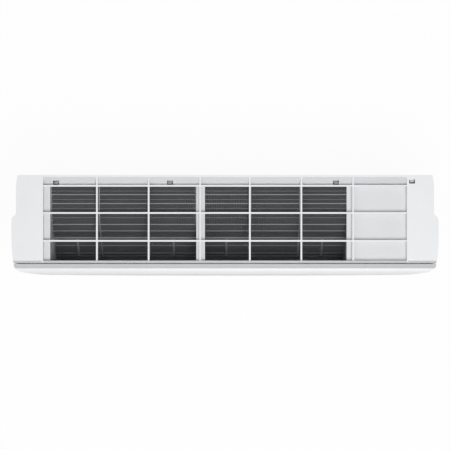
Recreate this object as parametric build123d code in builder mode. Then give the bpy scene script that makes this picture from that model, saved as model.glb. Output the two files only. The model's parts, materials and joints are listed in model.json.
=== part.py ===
"""Wall-mounted indoor unit of a split air conditioner, made of separate pieces.

X runs along the unit (right as seen from the room), Y points into the wall, Z is up.
The wall is the plane y = 0 and the origin is the middle of the four wall bolts.
Every cross-section is drawn in a side plane, whose first axis is Y and second is Z.
"""

from build123d import *
import os
from math import atan2, cos, degrees, hypot, radians, sin, tan

os.makedirs("parts", exist_ok=True)

# ---------------------------------------------------------------- driving dimensions
unit_width = 850.0
unit_height = 290.0
unit_depth = 201.5

wall = 2.5                  # moulded walls
seat_gap = 0.3              # between pieces that rest on or beside each other
slot_gap = 0.6              # between long mouldings that slide together
shaft_gap = 0.05            # radial, at shafts and pins

half_width = unit_width / 2
top_z = unit_height / 2
bottom_z = -unit_height / 2

# Case: outline seen from above
case_depth = 177.0          # wall to the flat front of the case
case_back_y = -1.0
side_step = 9.0             # the case is this much narrower behind its side step
side_step_start = 75.0      # from the wall
side_step_depth = 17.5
side_taper = 4.0            # narrowing of the case towards its front
side_taper_length = 47.0
case_top_radius = 8.0

# Air outlet, in the side plane
outlet_top = (-196.0, -86.0)
outlet_bottom = (-126.0, bottom_z)
case_chin_z = -70.0         # where the front of the case turns out to the outlet

# Front panel
panel_wall = 2.5
panel_gap = 1.5             # between the panel's edge and the front of the case
panel_bow = 1.5             # the panel's face is this much proud in the middle
panel_side_run = 75.0       # the face ends this far from the ends of the unit
panel_face_half = half_width - panel_side_run
panel_lip_drop = 5.0
panel_lip_depth = 6.5
panel_top_radius = 14.0
panel_crest_radius = 2.5
panel_hip_z = -30.0         # below this the panel curves inwards
panel_hip_radius = 300.0
panel_foot = (-197.0, -84.0)
hinge_axis = (-184.5, 135.0)
hinge_pin_radius = 1.75
hinge_ear_radius = 3.4
hinge_ear_width = 6.0
hinge_ear_root = (23.0, 13.0)   # its root on the case lies this far below the pin
hinge_arm_width = 3.0
hinge_inset = 47.0
hinge_x = half_width - hinge_inset

# Intake recess and lattice in the top
recess_inset = 63.0
left_rail_width = 12.0
machine_room = 168.0        # right end, for the motor and the electrical box
recess_half = half_width - recess_inset
recess_back_y = -5.0
recess_front_y = -171.5
intake_left_x = left_rail_width - recess_half
intake_right_x = half_width - machine_room
rail_drop = 11.8            # the filter rails lie this far below the top
rail_flange = 1.9
recess_floor = 2.0
lattice_bar = 4.2
lattice_columns = (-255.0, -152.0, -49.5, 49.5, 152.0, 255.0)
lattice_rows = (-22.4, -76.5, -132.0)
claw_window = (11.5, 8.8)
claw_inset = (12.8, 35.8)
claw_window_x = (intake_left_x + claw_inset[0], -109.8, intake_right_x - claw_inset[1])
claw_window_y = -15.7
end_claw_inset = 52.7
end_claw = (half_width - end_claw_inset, -13.5)
claw_size = (8.0, 4.0)
claw_foot = 3.0
claw_foot_drop = 6.5        # its foot starts this far below the top of the chassis
claw_tip_drop = 8.0
end_claw_tip_drop = 1.0
end_claw_back = 0.5

# Filters: the curve that their outer face follows, from the back down to the front
filter_top_drop = 14.0
filter_rear_y = -22.0
filter_crown_y = -91.5
filter_knee = (-167.9, 40.1)
filter_foot = (-173.6, -25.0)
filter_crown_radius = 55.0
filter_knee_radius = 40.0
filter_frame = 2.0
filter_mesh = 0.5
filter_side_gap = 1.0       # between a filter and the left end of the intake
filter_split = 10.0         # between the two filters
right_rail_width = 14.0
rail_ledge_reach = 4.0      # the filters lie this far over their rails
filter_half = (intake_right_x - right_rail_width + rail_ledge_reach - intake_left_x - filter_side_gap
               - filter_split) / 4
filter_border = 6.0
filter_rib = 1.6
filter_cross_ribs = 11
filter_long_rib_x = 49.0
filter_short_rib_x = 97.6
filter_centres = (intake_left_x + filter_side_gap + filter_half,
                  intake_right_x - right_rail_width + rail_ledge_reach - filter_half)
middle_rail_over = (1.4, 6.0)   # its flat top reaches this far over the left and the right filter
middle_rail = (filter_centres[0] + filter_half - middle_rail_over[0],
               filter_centres[1] - filter_half + middle_rail_over[1])
right_rail = (intake_right_x - right_rail_width, intake_right_x)
rail_ledge = 1.7
rail_foot = 4.0             # the left rail is this much thicker under the filter
rail_web_below = 20.0       # its wall ends this far below the filter's knee

# Evaporator, three finned slabs on a bent end plate
coil_inset = (4.5, 13.5)     # from the two ends of the intake
coil_left_x = intake_left_x + coil_inset[0]
coil_right_x = intake_right_x - coil_inset[1]
coil_clearance = 9.5        # between the filter curve and the finned slabs
coil_thickness = 22.0
coil_upper_early = 12.0     # the upper slab starts this far before the filter's slope
coil_upper_length = 92.9
coil_lower_y = -160.0
coil_lower_z = 30.0
coil_rear_top = (-62.0, 120.0)
coil_rear_foot = (-22.0, 35.0)
coil_rear_thickness = 13.5
coil_groove = 1.6
coil_groove_depth = 1.5
coil_grooves = 28
end_plate = 1.0
tube_radius = 3.5
bend_radius = 10.5
bend_stub = 6.0
bend_steps = 4
tube_sides = 8

# Fan
fan_axis = (-85.0, -10.0)
fan_radius = 49.0
fan_inset = (2.5, 7.5)      # from the two ends of the coil
fan_left_x = coil_left_x + fan_inset[0]
fan_right_x = coil_right_x - fan_inset[1]
fan_disc = 2.5
fan_sections = 4
fan_blades = 24
fan_blade = 1.2
fan_blade_inner = 36.5
fan_blade_lean = 18.0       # degrees between the inner and outer ends of a blade
fan_boss_radius = 12.0
fan_boss_length = 5.0
left_shaft_radius = 4.0
motor_shaft_radius = 5.0

# Air duct: inner face of the scroll behind and under the fan
scroll_lip = (-40.5, 30.0)
scroll_back = (-22.0, -8.0)
scroll_low = (-30.0, -62.0)
duct_rear = (-70.0, -92.0)
duct_front = (-117.5, -133.77)
scroll_radii = (60.0, 50.0, 100.0)
trough_z = 22.0
end_wall_gap = 0.3          # between the chassis end walls and the coil's end plates

# Chassis
chassis_gap = 1.5           # between the chassis and the sides of the case
chassis_half = half_width - side_step - wall - chassis_gap
chassis_back_y = -10.0
chassis_top_z = top_z - 12.5
channel_roof_z = -98.0
channel_front_y = -60.0
chassis_bottom_front_y = -109.7

# Motor and its cradle
motor_radius = 44.0
motor_room = 26.0           # between the fan and its motor
motor_left_x = fan_right_x + motor_room
motor_length = 68.0
motor_boss_radius = 15.0
motor_boss_length = 10.0
cradle_rib = 4.0
cradle_rib_along = (10.0, 50.0)
cradle_rib_x = (motor_left_x + cradle_rib_along[0], motor_left_x + cradle_rib_along[1])
cradle_z = (-62.0, 42.0)
bracket_flange = 14.0
notch_room = 20.0           # round the pipes, where they pass the channel's roof
hook_slot_drop = 3.3        # the slot's middle lies this far below the hook's
bearing_hole_radius = 16.0
bearing_bush_radius = 9.0

# Louver and vanes
louver_edge_gap = 4.5
louver_top_gap = 3.0
louver_thickness = 3.5
louver_pivot_along = 24.0
louver_pivot_inside = 9.0
louver_pin_radius = 3.0
louver_hub_radius = 5.5
vane_pitch = 57.0
vanes_per_group = 5
vane_pivot_flow = 27.0
vane_half_chord = 15.0
vane_height = 68.0
vane_thickness = 1.8
vane_lift = 1.2
vane_pin_radius = 3.0
vane_crank = 11.0
link_height = 20.0
link_thickness = 3.0
link_width = 6.0
link_pin_radius = 1.3
link_notch = 4.5
stepper_radius = 14.0
stepper_length = 19.0
stepper_offset = 8.2        # its output sits this far off the middle of its body

# Drain pan
pan_rim_z = -25.3
pan_spigot_radius = 8.0
pan_spigot_bore = 6.0
pan_spigot_length = 24.0
pan_spigot = (-155.0, -47.0)

# Refrigerant pipes
liquid_radius = 3.175
gas_radius = 4.76
pipe_wall = 0.8
pipe_bend_radius = 18.0
union_length = 26.0
union_thread_length = 12.0

# Electrical box
box_inset = (11.0, 16.0)    # from the intake, and from the end of the chassis
box_x = (intake_right_x + box_inset[0], chassis_half - box_inset[1])
box_y = (-170.0, -138.0)
box_z = (-28.0, 118.0)
box_wall = 2.0
cover_thickness = 1.5
cover_above = 45.0          # leaves the terminals open below it
cover_flange = 8.0
board_thickness = 1.6
board_post = 6.0
board_post_radius = 3.0
board_inset = (10.0, 8.0)
board_above = 52.0          # leaves room for the terminals below it
board_below = 5.0
capacitor_radius = 9.0
capacitor_height = 15.0
capacitor_x = (35.0, 62.0)
capacitor_drop = 32.0
relay_x = (82.0, 110.0)
relay_drop = (18.0, 46.0)
relay_height = 12.0
plug_row_x = (24.0, 70.0)
plug_row_drop = (70.0, 86.0)
plug_row_height = 6.0
terminal_along = (14.0, 74.0)
terminal_rise = 28.0
terminal_depth = 18.0

# Mounting plate
plate_thickness = 1.5
plate_size = (600.0, 210.0)
plate_bolt_spacing = (450.0, 140.0)
plate_bolt_radius = 3.0
plate_hook_x = 230.0
plate_hook_width = 40.0
plate_hook_z = 96.0
plate_hook_height = 9.0

# Manual button, case screws, display
button_radius = 4.0
button_travel = 1.5
button_inset = 95.0
button_place = (half_width - button_inset, -12.0)
screw_radius = 2.0
screw_head_radius = 3.6
screw_z = -61.0
screw_x = (-300.0, -50.0, 200.0)
window_inset = (133.0, 73.0)
window_x = (half_width - window_inset[0], half_width - window_inset[1])
window_z = (-58.0, -44.0)
window_gap = 0.1


# ---------------------------------------------------------------- section helpers
def unit(start, end):
    """Direction from one point of a side plane to another."""
    run = hypot(end[0] - start[0], end[1] - start[1])
    return ((end[0] - start[0]) / run, (end[1] - start[1]) / run)


def beside(point, direction, along, left):
    """Point reached by going along a direction and then to its left."""
    y = point[0] + direction[0] * along - direction[1] * left
    z = point[1] + direction[1] * along + direction[0] * left
    return (y, z)


def parallel(points, distance):
    """Corners of a chain of straight runs, moved to its left by a distance."""
    runs = [unit(a, b) for a, b in zip(points, points[1:])]
    moved = [beside(points[0], runs[0], 0, distance)]
    for corner, run_in, run_out in zip(points[1:], runs, runs[1:]):
        spread = 1 + run_in[0] * run_out[0] + run_in[1] * run_out[1]
        y = corner[0] - (run_in[1] + run_out[1]) / spread * distance
        z = corner[1] + (run_in[0] + run_out[0]) / spread * distance
        moved.append((y, z))
    moved.append(beside(points[-1], runs[-1], 0, distance))
    return moved


def parallel_radii(points, radii, distance):
    """Bend radii of a chain that is moved to its left by a distance."""
    runs = [unit(a, b) for a, b in zip(points, points[1:])]
    moved = []
    for radius, run_in, run_out in zip(radii, runs, runs[1:]):
        turns_left = run_in[0] * run_out[1] - run_in[1] * run_out[0] > 0
        moved.append(radius - distance if turns_left else radius + distance)
    return moved


def band(points, radii, near, far, x):
    """Side section of a sheet between two parallels of a chain."""
    with BuildSketch(Plane.YZ.offset(x)) as section:
        with BuildLine():
            inner = FilletPolyline(*parallel(points, near), radius=parallel_radii(points, radii, near))
            outer = FilletPolyline(*parallel(points, far), radius=parallel_radii(points, radii, far))
            Line(inner @ 0, outer @ 0)
            Line(inner @ 1, outer @ 1)
        make_face()
    return section.sketch


def outline(points, x):
    """Side section bounded by straight lines."""
    with BuildSketch(Plane.YZ.offset(x)) as section:
        with BuildLine():
            Polyline(*points, close=True)
        make_face()
    return section.sketch


def round_section(centre, radius, x, bore=0.0):
    """Side section of a disc or a ring."""
    with BuildSketch(Plane.YZ.offset(x)) as section:
        with Locations(centre):
            Circle(radius)
            if bore:
                Circle(bore, mode=Mode.SUBTRACT)
    return section.sketch


def box_between(x, y, z):
    """Solid block between two values on each axis."""
    centre = ((x[0] + x[1]) / 2, (y[0] + y[1]) / 2, (z[0] + z[1]) / 2)
    return Pos(*centre) * Box(x[1] - x[0], y[1] - y[0], z[1] - z[0], mode=Mode.PRIVATE)


def rectangle_points(start, direction, length, thickness):
    """Corners of a slab that starts at a point and lies left of its outer face."""
    return [
        start,
        beside(start, direction, length, 0),
        beside(start, direction, length, thickness),
        beside(start, direction, 0, thickness),
    ]


# ---------------------------------------------------------------- shared chains and places
case_front_y = -case_depth
panel_front_y = -unit_depth
filter_top_z = top_z - filter_top_drop
rail_top_z = top_z - rail_drop
filter_chain = [
    (filter_rear_y, filter_top_z),
    (filter_crown_y, filter_top_z),
    filter_knee,
    filter_foot,
]
filter_radii = (filter_crown_radius, filter_knee_radius)
filter_thickness = filter_frame + filter_mesh
rail_over = filter_top_z - rail_top_z
rail_under = filter_thickness + seat_gap

end_wall_left = (coil_left_x - end_plate - end_wall_gap - wall, coil_left_x - end_plate - end_wall_gap)
end_wall_right = (coil_right_x + end_plate + end_wall_gap, coil_right_x + end_plate + end_wall_gap + wall)
duct_left_x = end_wall_left[1]
duct_right_x = end_wall_right[0]

# The slope of the air duct: flow runs down and forwards, rise is square to it
flow = unit(duct_rear, duct_front)
rise = (flow[1], -flow[0])
duct_normal = Vector(0, rise[0], rise[1])


def duct_point(along, height):
    """Point of the side plane at a distance along the duct's floor and above it."""
    y = duct_rear[0] + flow[0] * along + rise[0] * height
    z = duct_rear[1] + flow[1] * along + rise[1] * height
    return (y, z)


def duct_plane(x, along, height):
    """Plane lying along the duct's floor at a given height."""
    y, z = duct_point(along, height)
    return Plane(origin=(x, y, z), x_dir=(1, 0, 0), z_dir=duct_normal)


outlet_up = unit(outlet_bottom, outlet_top)
louver_length = hypot(outlet_top[0] - outlet_bottom[0], outlet_top[1] - outlet_bottom[1])
louver_length -= louver_edge_gap + louver_top_gap
louver_start = beside(outlet_bottom, outlet_up, louver_edge_gap, 0)
louver_axis = beside(louver_start, outlet_up, louver_pivot_along, -louver_pivot_inside)

front_half = half_width - side_taper

# ---------------------------------------------------------------- outline of the front from above
panel_back_y = case_front_y - panel_gap
panel_chain = [
    (panel_back_y - panel_gap, top_z - panel_lip_drop),
    (panel_back_y - panel_gap - panel_lip_depth, top_z),
    (panel_front_y, top_z),
    (panel_front_y, panel_hip_z),
    panel_foot,
]
panel_radii = (panel_crest_radius, panel_top_radius, panel_hip_radius)
panel_edge = (404.8, panel_front_y + 7.5)
panel_side = (front_half, panel_back_y - 3.5)


def panel_plan(inset, back):
    """Outline of the panel from above, moved inwards."""
    with BuildSketch(Plane.XY.offset(bottom_z)) as plan:
        with BuildLine():
            end_y = panel_front_y + panel_bow
            face = ThreePointArc((-panel_face_half, end_y + inset), (0, panel_front_y + inset),
                                 (panel_face_half, end_y + inset))
            for side in (1, -1):
                start = (side * panel_face_half, end_y + inset)
                edge = (side * (panel_edge[0] - 0.5 * inset), panel_edge[1] + 0.9 * inset)
                flank = (side * (panel_side[0] - inset), panel_side[1] + 0.4 * inset)
                heading = face % 1 if side == 1 else -(face % 0)
                shoulder = TangentArc(start, edge, tangent=heading)
                TangentArc(edge, flank, tangent=shoulder % 1)
                Line(flank, (flank[0], back))
            Line((-(panel_side[0] - inset), back), (panel_side[0] - inset, back))
        make_face()
    return plan.sketch


# ---------------------------------------------------------------- front case
step_half = half_width - side_step
step_mid = (step_half + side_step * 0.4, -side_step_start - side_step_depth * 0.4)
step_end = (half_width, -side_step_start - side_step_depth)
taper_start = (half_width, -case_depth + side_taper_length)
rear_corner = 3.0
rear_corner_y = -20.0


def case_plan(inset, back):
    """Outline of the case from above, moved inwards; in front it follows the panel."""
    with BuildSketch(Plane.XY.offset(bottom_z)) as plan:
        with BuildLine():
            for side in (1, -1):
                start = (side * (step_half - inset), -side_step_start)
                middle = (side * (step_mid[0] - inset), step_mid[1])
                end = (side * (step_end[0] - inset), step_end[1])
                taper = (side * (taper_start[0] - inset), taper_start[1])
                nose = (side * (front_half - inset), case_front_y)
                Polyline((0, back), (side * (step_half - rear_corner - inset), back),
                         (side * (step_half - inset), rear_corner_y), start)
                first = TangentArc(start, middle, tangent=(0, -1))
                TangentArc(middle, end, tangent=first % 1)
                Line(end, taper)
                TangentArc(taper, nose, tangent=(0, -1))
            Line((inset - front_half, case_front_y), (front_half - inset, case_front_y))
        make_face()
        add(panel_plan(inset, case_front_y).moved(Location((0, 0, -bottom_z))))
    return plan.sketch


chin_run = unit((case_front_y, case_chin_z), outlet_top)


def case_side(inset):
    """Outline of the case from the side, moved inwards."""
    chain = [
        (0, top_z), (case_front_y, top_z), (case_front_y, case_chin_z),
        outlet_top, outlet_bottom, (0, bottom_z),
    ]
    corners = parallel(chain, inset)
    with BuildSketch(Plane.YZ.offset(-half_width)) as side:
        with BuildLine():
            Polyline(*corners, close=True)
        make_face()
        top_front = side.vertices().group_by(Axis.Y)[-1].sort_by(Axis.X)[0]
        fillet(top_front, case_top_radius - inset)
    return side.sketch


with BuildPart() as case_hollow:
    extrude(case_side(wall), amount=unit_width)
    extrude(case_plan(wall, wall), amount=unit_height, mode=Mode.INTERSECT)

lip_wedge = [
    (duct_front[0] - 0.8, duct_front[1] - 0.8),
    beside(outlet_bottom, outlet_up, 2.0, -0.6),
    outlet_bottom,
    (chassis_bottom_front_y - seat_gap, bottom_z),
    (chassis_bottom_front_y - seat_gap, bottom_z + wall),
    (duct_front[0] - 0.8, bottom_z + wall),
]
ramp_foot_y = lattice_rows[0] + lattice_bar / 2
ramp_foot_z = rail_top_z + 1.0
ramp = [
    (recess_back_y, top_z), (recess_back_y + wall, top_z), (recess_back_y + wall, top_z - wall),
    (recess_back_y, top_z - wall), (ramp_foot_y, ramp_foot_z - recess_floor), (ramp_foot_y, ramp_foot_z),
]
outlet_x = (end_wall_left[0] - seat_gap, end_wall_right[1] + seat_gap)

with BuildPart() as hinge_ear:
    with BuildSketch(Plane.YZ.offset(hinge_x)) as ear_section:
        with Locations(hinge_axis):
            Circle(hinge_ear_radius)
        with BuildLine():
            Line((case_front_y + 1.0, hinge_axis[1] - hinge_ear_root[0]),
                 (case_front_y + 1.0, hinge_axis[1] - hinge_ear_root[1]))
        make_hull()
        with Locations(hinge_axis):
            Circle(hinge_pin_radius + shaft_gap, mode=Mode.SUBTRACT)
    extrude(amount=hinge_ear_width)

with BuildPart() as front_case:
    extrude(case_side(0), amount=unit_width)
    extrude(case_plan(0, case_back_y), amount=unit_height, mode=Mode.INTERSECT)
    add(case_hollow.part, mode=Mode.SUBTRACT)
    # intake recess: hole in the top, then its skirts, the ramp behind and the closed floor
    add(box_between((-recess_half, recess_half), (recess_front_y, recess_back_y), (rail_top_z, top_z)),
        mode=Mode.SUBTRACT)
    for edge in (-recess_half - wall, recess_half):
        add(box_between((edge, edge + wall), (recess_front_y - wall, recess_back_y), (rail_top_z, top_z)))
    add(box_between((-recess_half, recess_half), (recess_front_y - wall, recess_front_y),
                    (rail_top_z, top_z - wall)))
    extrude(outline(ramp, -recess_half), amount=2 * recess_half)
    add(box_between((intake_right_x + seat_gap, recess_half + wall), (recess_front_y - wall, ramp_foot_y),
                    (rail_top_z - recess_floor, rail_top_z)))
    # windows that the chassis claws reach through
    with Locations(*[(x, claw_window_y, top_z) for x in claw_window_x]):
        Box(claw_window[0], claw_window[1], 2 * rail_drop + 6.0, mode=Mode.SUBTRACT)
    with Locations((end_claw[0], end_claw[1], top_z)):
        Box(claw_window[0], claw_window[1], 4 * wall, mode=Mode.SUBTRACT)
    # openings: filters at the front, outlet, underside
    add(box_between((intake_left_x - 13.0, intake_right_x + 1.0),
                    (case_front_y - 1, case_front_y + wall + 0.5),
                    (filter_foot[1] - seat_gap, top_z - 17.0)), mode=Mode.SUBTRACT)
    outlet_cut = rectangle_points(beside(outlet_top, outlet_up, -1.5, 4.0), (-outlet_up[0], -outlet_up[1]),
                                  louver_length + louver_edge_gap, 14.0)
    extrude(outline(outlet_cut, outlet_x[0]), amount=outlet_x[1] - outlet_x[0], mode=Mode.SUBTRACT)
    add(box_between((-step_half + wall, step_half - wall), (chassis_bottom_front_y - seat_gap, 1.0),
                    (bottom_z - 1, bottom_z + 2 * wall)), mode=Mode.SUBTRACT)
    extrude(outline(lip_wedge, outlet_x[0]), amount=outlet_x[1] - outlet_x[0])
    # pipe cut-out in the left side, in line with the channel behind the bottom
    add(box_between((-half_width - 1, -chassis_half), (channel_front_y, 1.0),
                    (bottom_z - 1, channel_roof_z)), mode=Mode.SUBTRACT)
    # narrow seam along the side step
    for side in (1, -1):
        with Locations((side * (step_half + 1.2), -side_step_start - 4.0, 0)):
            Box(1.6, 1.0, unit_height + 1, mode=Mode.SUBTRACT)
    # hinge ears, screw holes, button hole
    add(hinge_ear.part)
    add(mirror(hinge_ear.part, about=Plane.YZ))
    with Locations(*[Plane(origin=(x, case_front_y + wall, screw_z), z_dir=(0, 1, 0)) for x in screw_x]):
        Cylinder(screw_radius + shaft_gap, 4 * wall, mode=Mode.SUBTRACT)
    with Locations(Plane(origin=(button_place[0], case_front_y, button_place[1]), z_dir=(0, 1, 0))):
        Cylinder(button_radius + 2 * shaft_gap, 4 * wall, mode=Mode.SUBTRACT)
front_case.part.label = "front_case"
export_step(front_case.part, "parts/front_case.step")

# ---------------------------------------------------------------- intake lattice
lattice_side = [
    (recess_back_y - seat_gap, top_z),
    (recess_back_y - seat_gap, top_z - 0.2),
    (ramp_foot_y, ramp_foot_z + 0.4),
    (ramp_foot_y, rail_top_z + seat_gap),
    (recess_front_y + seat_gap, rail_top_z + seat_gap),
    (recess_front_y + seat_gap, top_z),
]
with BuildPart() as top_grille:
    for x in lattice_columns:
        extrude(outline(lattice_side, x - lattice_bar / 2), amount=lattice_bar)
    for y in lattice_rows:
        add(box_between((-recess_half + seat_gap, recess_half - seat_gap),
                        (y - lattice_bar / 2, y + lattice_bar / 2 - 0.01),
                        (rail_top_z + seat_gap, top_z)))
top_grille.part.label = "top_grille"
export_step(top_grille.part, "parts/top_grille.step")

# ---------------------------------------------------------------- filter rails
def rail_piece(x, near, far):
    """One strip of a rail that follows the filter's curve."""
    return extrude(band(filter_chain, filter_radii, near, far, x[0]), amount=x[1] - x[0], mode=Mode.PRIVATE)


def rail_web(x):
    """Wall between a rail's flat top and the filter's curve below it."""
    front_y = recess_front_y + seat_gap
    low_z = filter_knee[1] - rail_web_below
    with BuildSketch(Plane.YZ.offset(x[0])) as web:
        with BuildLine():
            Polyline((ramp_foot_y - wall, rail_top_z), (front_y, rail_top_z), (front_y, low_z),
                     (ramp_foot_y - wall, low_z), close=True)
        make_face()
        with BuildLine():
            curve = FilletPolyline(*filter_chain, radius=filter_radii)
            Polyline(curve @ 1, (filter_rear_y, filter_foot[1]), curve @ 0)
        make_face(mode=Mode.SUBTRACT)
    return extrude(web.sketch, amount=x[1] - x[0], mode=Mode.PRIVATE)


def rail_top(x):
    """Flat strip on top of a rail, flush with the recess floor."""
    y = (recess_front_y + seat_gap, ramp_foot_y - wall)
    return box_between(x, y, (rail_top_z - rail_flange, rail_top_z))


filter_edges = [(x - filter_half, x + filter_half) for x in filter_centres]
with BuildPart() as filter_rail_left:
    add(rail_piece((-recess_half, filter_edges[0][0] - seat_gap), rail_over, rail_under + rail_foot))
    add(rail_web((-recess_half, filter_edges[0][0] - seat_gap)))
    add(rail_piece((filter_edges[0][0] - 1.0, filter_edges[0][0] + rail_ledge_reach - 1.0),
                   rail_under, rail_under + rail_ledge))
filter_rail_left.part.label = "filter_rail_left"
export_step(filter_rail_left.part, "parts/filter_rail_left.step")

with BuildPart() as filter_rail_middle:
    add(rail_piece((filter_edges[0][1] + seat_gap, filter_edges[1][0] - seat_gap),
                   rail_over, rail_under + rail_ledge))
    add(rail_web((filter_edges[0][1] + seat_gap, filter_edges[1][0] - seat_gap)))
    add(rail_top(middle_rail))
    add(rail_piece((filter_edges[0][1] - rail_ledge_reach, filter_edges[1][0] + rail_ledge_reach),
                   rail_under, rail_under + rail_ledge))
filter_rail_middle.part.label = "filter_rail_middle"
export_step(filter_rail_middle.part, "parts/filter_rail_middle.step")

with BuildPart() as filter_rail_right:
    add(rail_piece((filter_edges[1][1] + seat_gap, right_rail[1]), rail_over, rail_under + rail_ledge))
    add(rail_web((filter_edges[1][1] + rail_ledge_reach, right_rail[1])))
    add(rail_top(right_rail))
    add(rail_piece((filter_edges[1][1] - rail_ledge_reach, right_rail[1]),
                   rail_under, rail_under + rail_ledge))
filter_rail_right.part.label = "filter_rail_right"
export_step(filter_rail_right.part, "parts/filter_rail_right.step")

# ---------------------------------------------------------------- filters
with BuildLine() as filter_curve:
    FilletPolyline(*parallel(filter_chain, filter_frame / 2),
                   radius=parallel_radii(filter_chain, filter_radii, filter_frame / 2))
filter_wire = filter_curve.wire()


def cross_rib(place, x):
    """Section of a rib across the filter at a share of the curve's length."""
    point = filter_wire.position_at(place)
    ahead = filter_wire.tangent_at(place)
    rib_plane = Plane(origin=(x, point.X, point.Y), x_dir=(0, ahead.X, ahead.Y), z_dir=(1, 0, 0))
    with BuildSketch(rib_plane) as rib:
        Rectangle(filter_rib, filter_frame)
    return rib.sketch


for side_name, centre_x in zip(("left", "right"), filter_centres):
    with BuildPart() as filter_frame_part:
        for offset_x in (-filter_half, filter_half - filter_border):
            add(rail_piece((centre_x + offset_x, centre_x + offset_x + filter_border), 0, filter_frame))
        for offset_x in (-filter_long_rib_x, filter_long_rib_x):
            add(rail_piece((centre_x + offset_x - 1.0, centre_x + offset_x + 1.0), 0, filter_frame))
        for index in range(filter_cross_ribs + 2):
            place = 0.004 + 0.992 * index / (filter_cross_ribs + 1)
            extrude(cross_rib(place, centre_x - filter_half + 1.0), amount=2 * filter_half - 2.0)
    filter_frame_part.part.label = f"filter_frame_{side_name}"
    export_step(filter_frame_part.part, f"parts/filter_frame_{side_name}.step")

    with BuildPart() as filter_mesh_part:
        add(rail_piece((centre_x - filter_half + 1.0, centre_x + filter_half - 1.0),
                       filter_frame, filter_thickness))
    filter_mesh_part.part.label = f"filter_mesh_{side_name}"
    export_step(filter_mesh_part.part, f"parts/filter_mesh_{side_name}.step")

# ---------------------------------------------------------------- evaporator
slope = unit((filter_crown_y, filter_top_z), filter_knee)
crown_turn = atan2(-slope[1], -slope[0])
crown_tangent = filter_crown_radius * tan(crown_turn / 2)
upper_start = beside((filter_crown_y, filter_top_z), slope, crown_tangent - coil_upper_early, coil_clearance)
rear_run = unit(coil_rear_top, coil_rear_foot)
rear_length = hypot(coil_rear_foot[0] - coil_rear_top[0], coil_rear_foot[1] - coil_rear_top[1])
upper_slab = rectangle_points(upper_start, slope, coil_upper_length, coil_thickness)
lower_slab = rectangle_points((coil_lower_y, coil_lower_z), (0.0, -1.0), 2 * coil_lower_z, coil_thickness)
rear_slab = rectangle_points(coil_rear_top, rear_run, rear_length, -coil_rear_thickness)


def finned_slab(corners, name):
    """Block of fins with grooves across its outer face."""
    run = unit(corners[0], corners[1])
    length = hypot(corners[1][0] - corners[0][0], corners[1][1] - corners[0][1])
    inward = 1 if name != "evaporator_rear" else -1
    cut = rectangle_points(beside(corners[0], run, -1, -inward), run, length + 2,
                           inward * (coil_groove_depth + 1))
    pitch = (coil_right_x - coil_left_x) / (coil_grooves + 1)
    with BuildPart() as slab:
        extrude(outline(corners, coil_left_x), amount=coil_right_x - coil_left_x)
        for index in range(coil_grooves):
            extrude(outline(cut, coil_left_x + pitch * (index + 1)), amount=coil_groove, mode=Mode.SUBTRACT)
    slab.part.label = name
    export_step(slab.part, f"parts/{name}.step")


finned_slab(rear_slab, "evaporator_rear")
finned_slab(upper_slab, "evaporator_upper")
finned_slab(lower_slab, "evaporator_lower")

arch = [
    rear_slab[1], rear_slab[0], upper_slab[0], upper_slab[1], lower_slab[0], lower_slab[1],
    lower_slab[2], lower_slab[3], upper_slab[2], upper_slab[3],
    beside(rear_slab[3], rear_run, 15.0, 0), rear_slab[2],
]


def tube_place(corners, along):
    """Centre of a tube in a slab, at a distance along the slab."""
    run = unit(corners[0], corners[1])
    across = ((corners[3][0] - corners[0][0]) / 2, (corners[3][1] - corners[0][1]) / 2)
    return (corners[0][0] + run[0] * along + across[0], corners[0][1] + run[1] * along + across[1])


liquid_place = tube_place(rear_slab, 47.0)
gas_place = tube_place(upper_slab, 30.0)
with BuildPart() as coil_end_plate_left:
    extrude(outline(arch, coil_left_x - end_plate), amount=end_plate)
coil_end_plate_left.part.label = "coil_end_plate_left"
export_step(coil_end_plate_left.part, "parts/coil_end_plate_left.step")

with BuildPart() as coil_end_plate_right:
    extrude(outline(arch, coil_right_x), amount=end_plate)
coil_end_plate_right.part.label = "coil_end_plate_right"
export_step(coil_end_plate_right.part, "parts/coil_end_plate_right.step")

bend_start_x = coil_left_x - end_plate
bend_places = [(upper_slab, 24.0), (upper_slab, 68.0), (lower_slab, 15.0), (lower_slab, 45.0),
               (rear_slab, 28.0), (rear_slab, 66.0)]
with BuildPart() as return_bends:
    for corners, middle in bend_places:
        low = tube_place(corners, middle - bend_radius)
        high = tube_place(corners, middle + bend_radius)
        far_x = bend_start_x - bend_stub
        rounded = [(far_x, *low)]
        for step in range(1, bend_steps):
            turn = radians(180 * step / bend_steps)
            place = tube_place(corners, middle - bend_radius * cos(turn))
            rounded.append((far_x - bend_radius * sin(turn), *place))
        with BuildLine() as bend_path:
            Polyline((bend_start_x, *low), *rounded, (far_x, *high), (bend_start_x, *high))
        with BuildSketch(Plane(origin=(bend_start_x, *low), z_dir=(-1, 0, 0))):
            RegularPolygon(tube_radius, tube_sides)
        sweep(path=bend_path.wire(), transition=Transition.RIGHT)
return_bends.part.label = "return_bends"
export_step(return_bends.part, "parts/return_bends.step")

# ---------------------------------------------------------------- refrigerant pipes
pipe_drop_y = (-24.0, -46.0)
pipe_drop_inset = (40.0, 25.0)
pipe_drop_x = (chassis_half - pipe_drop_inset[0], chassis_half - pipe_drop_inset[1])
pipe_low_z = (-112.0, -126.0)
pipe_end_x = (200.0, 150.0)
pipe_start_x = coil_right_x + end_plate
clamp_x = (243.0, 255.0)
clamp_wall = 9.0


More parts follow.
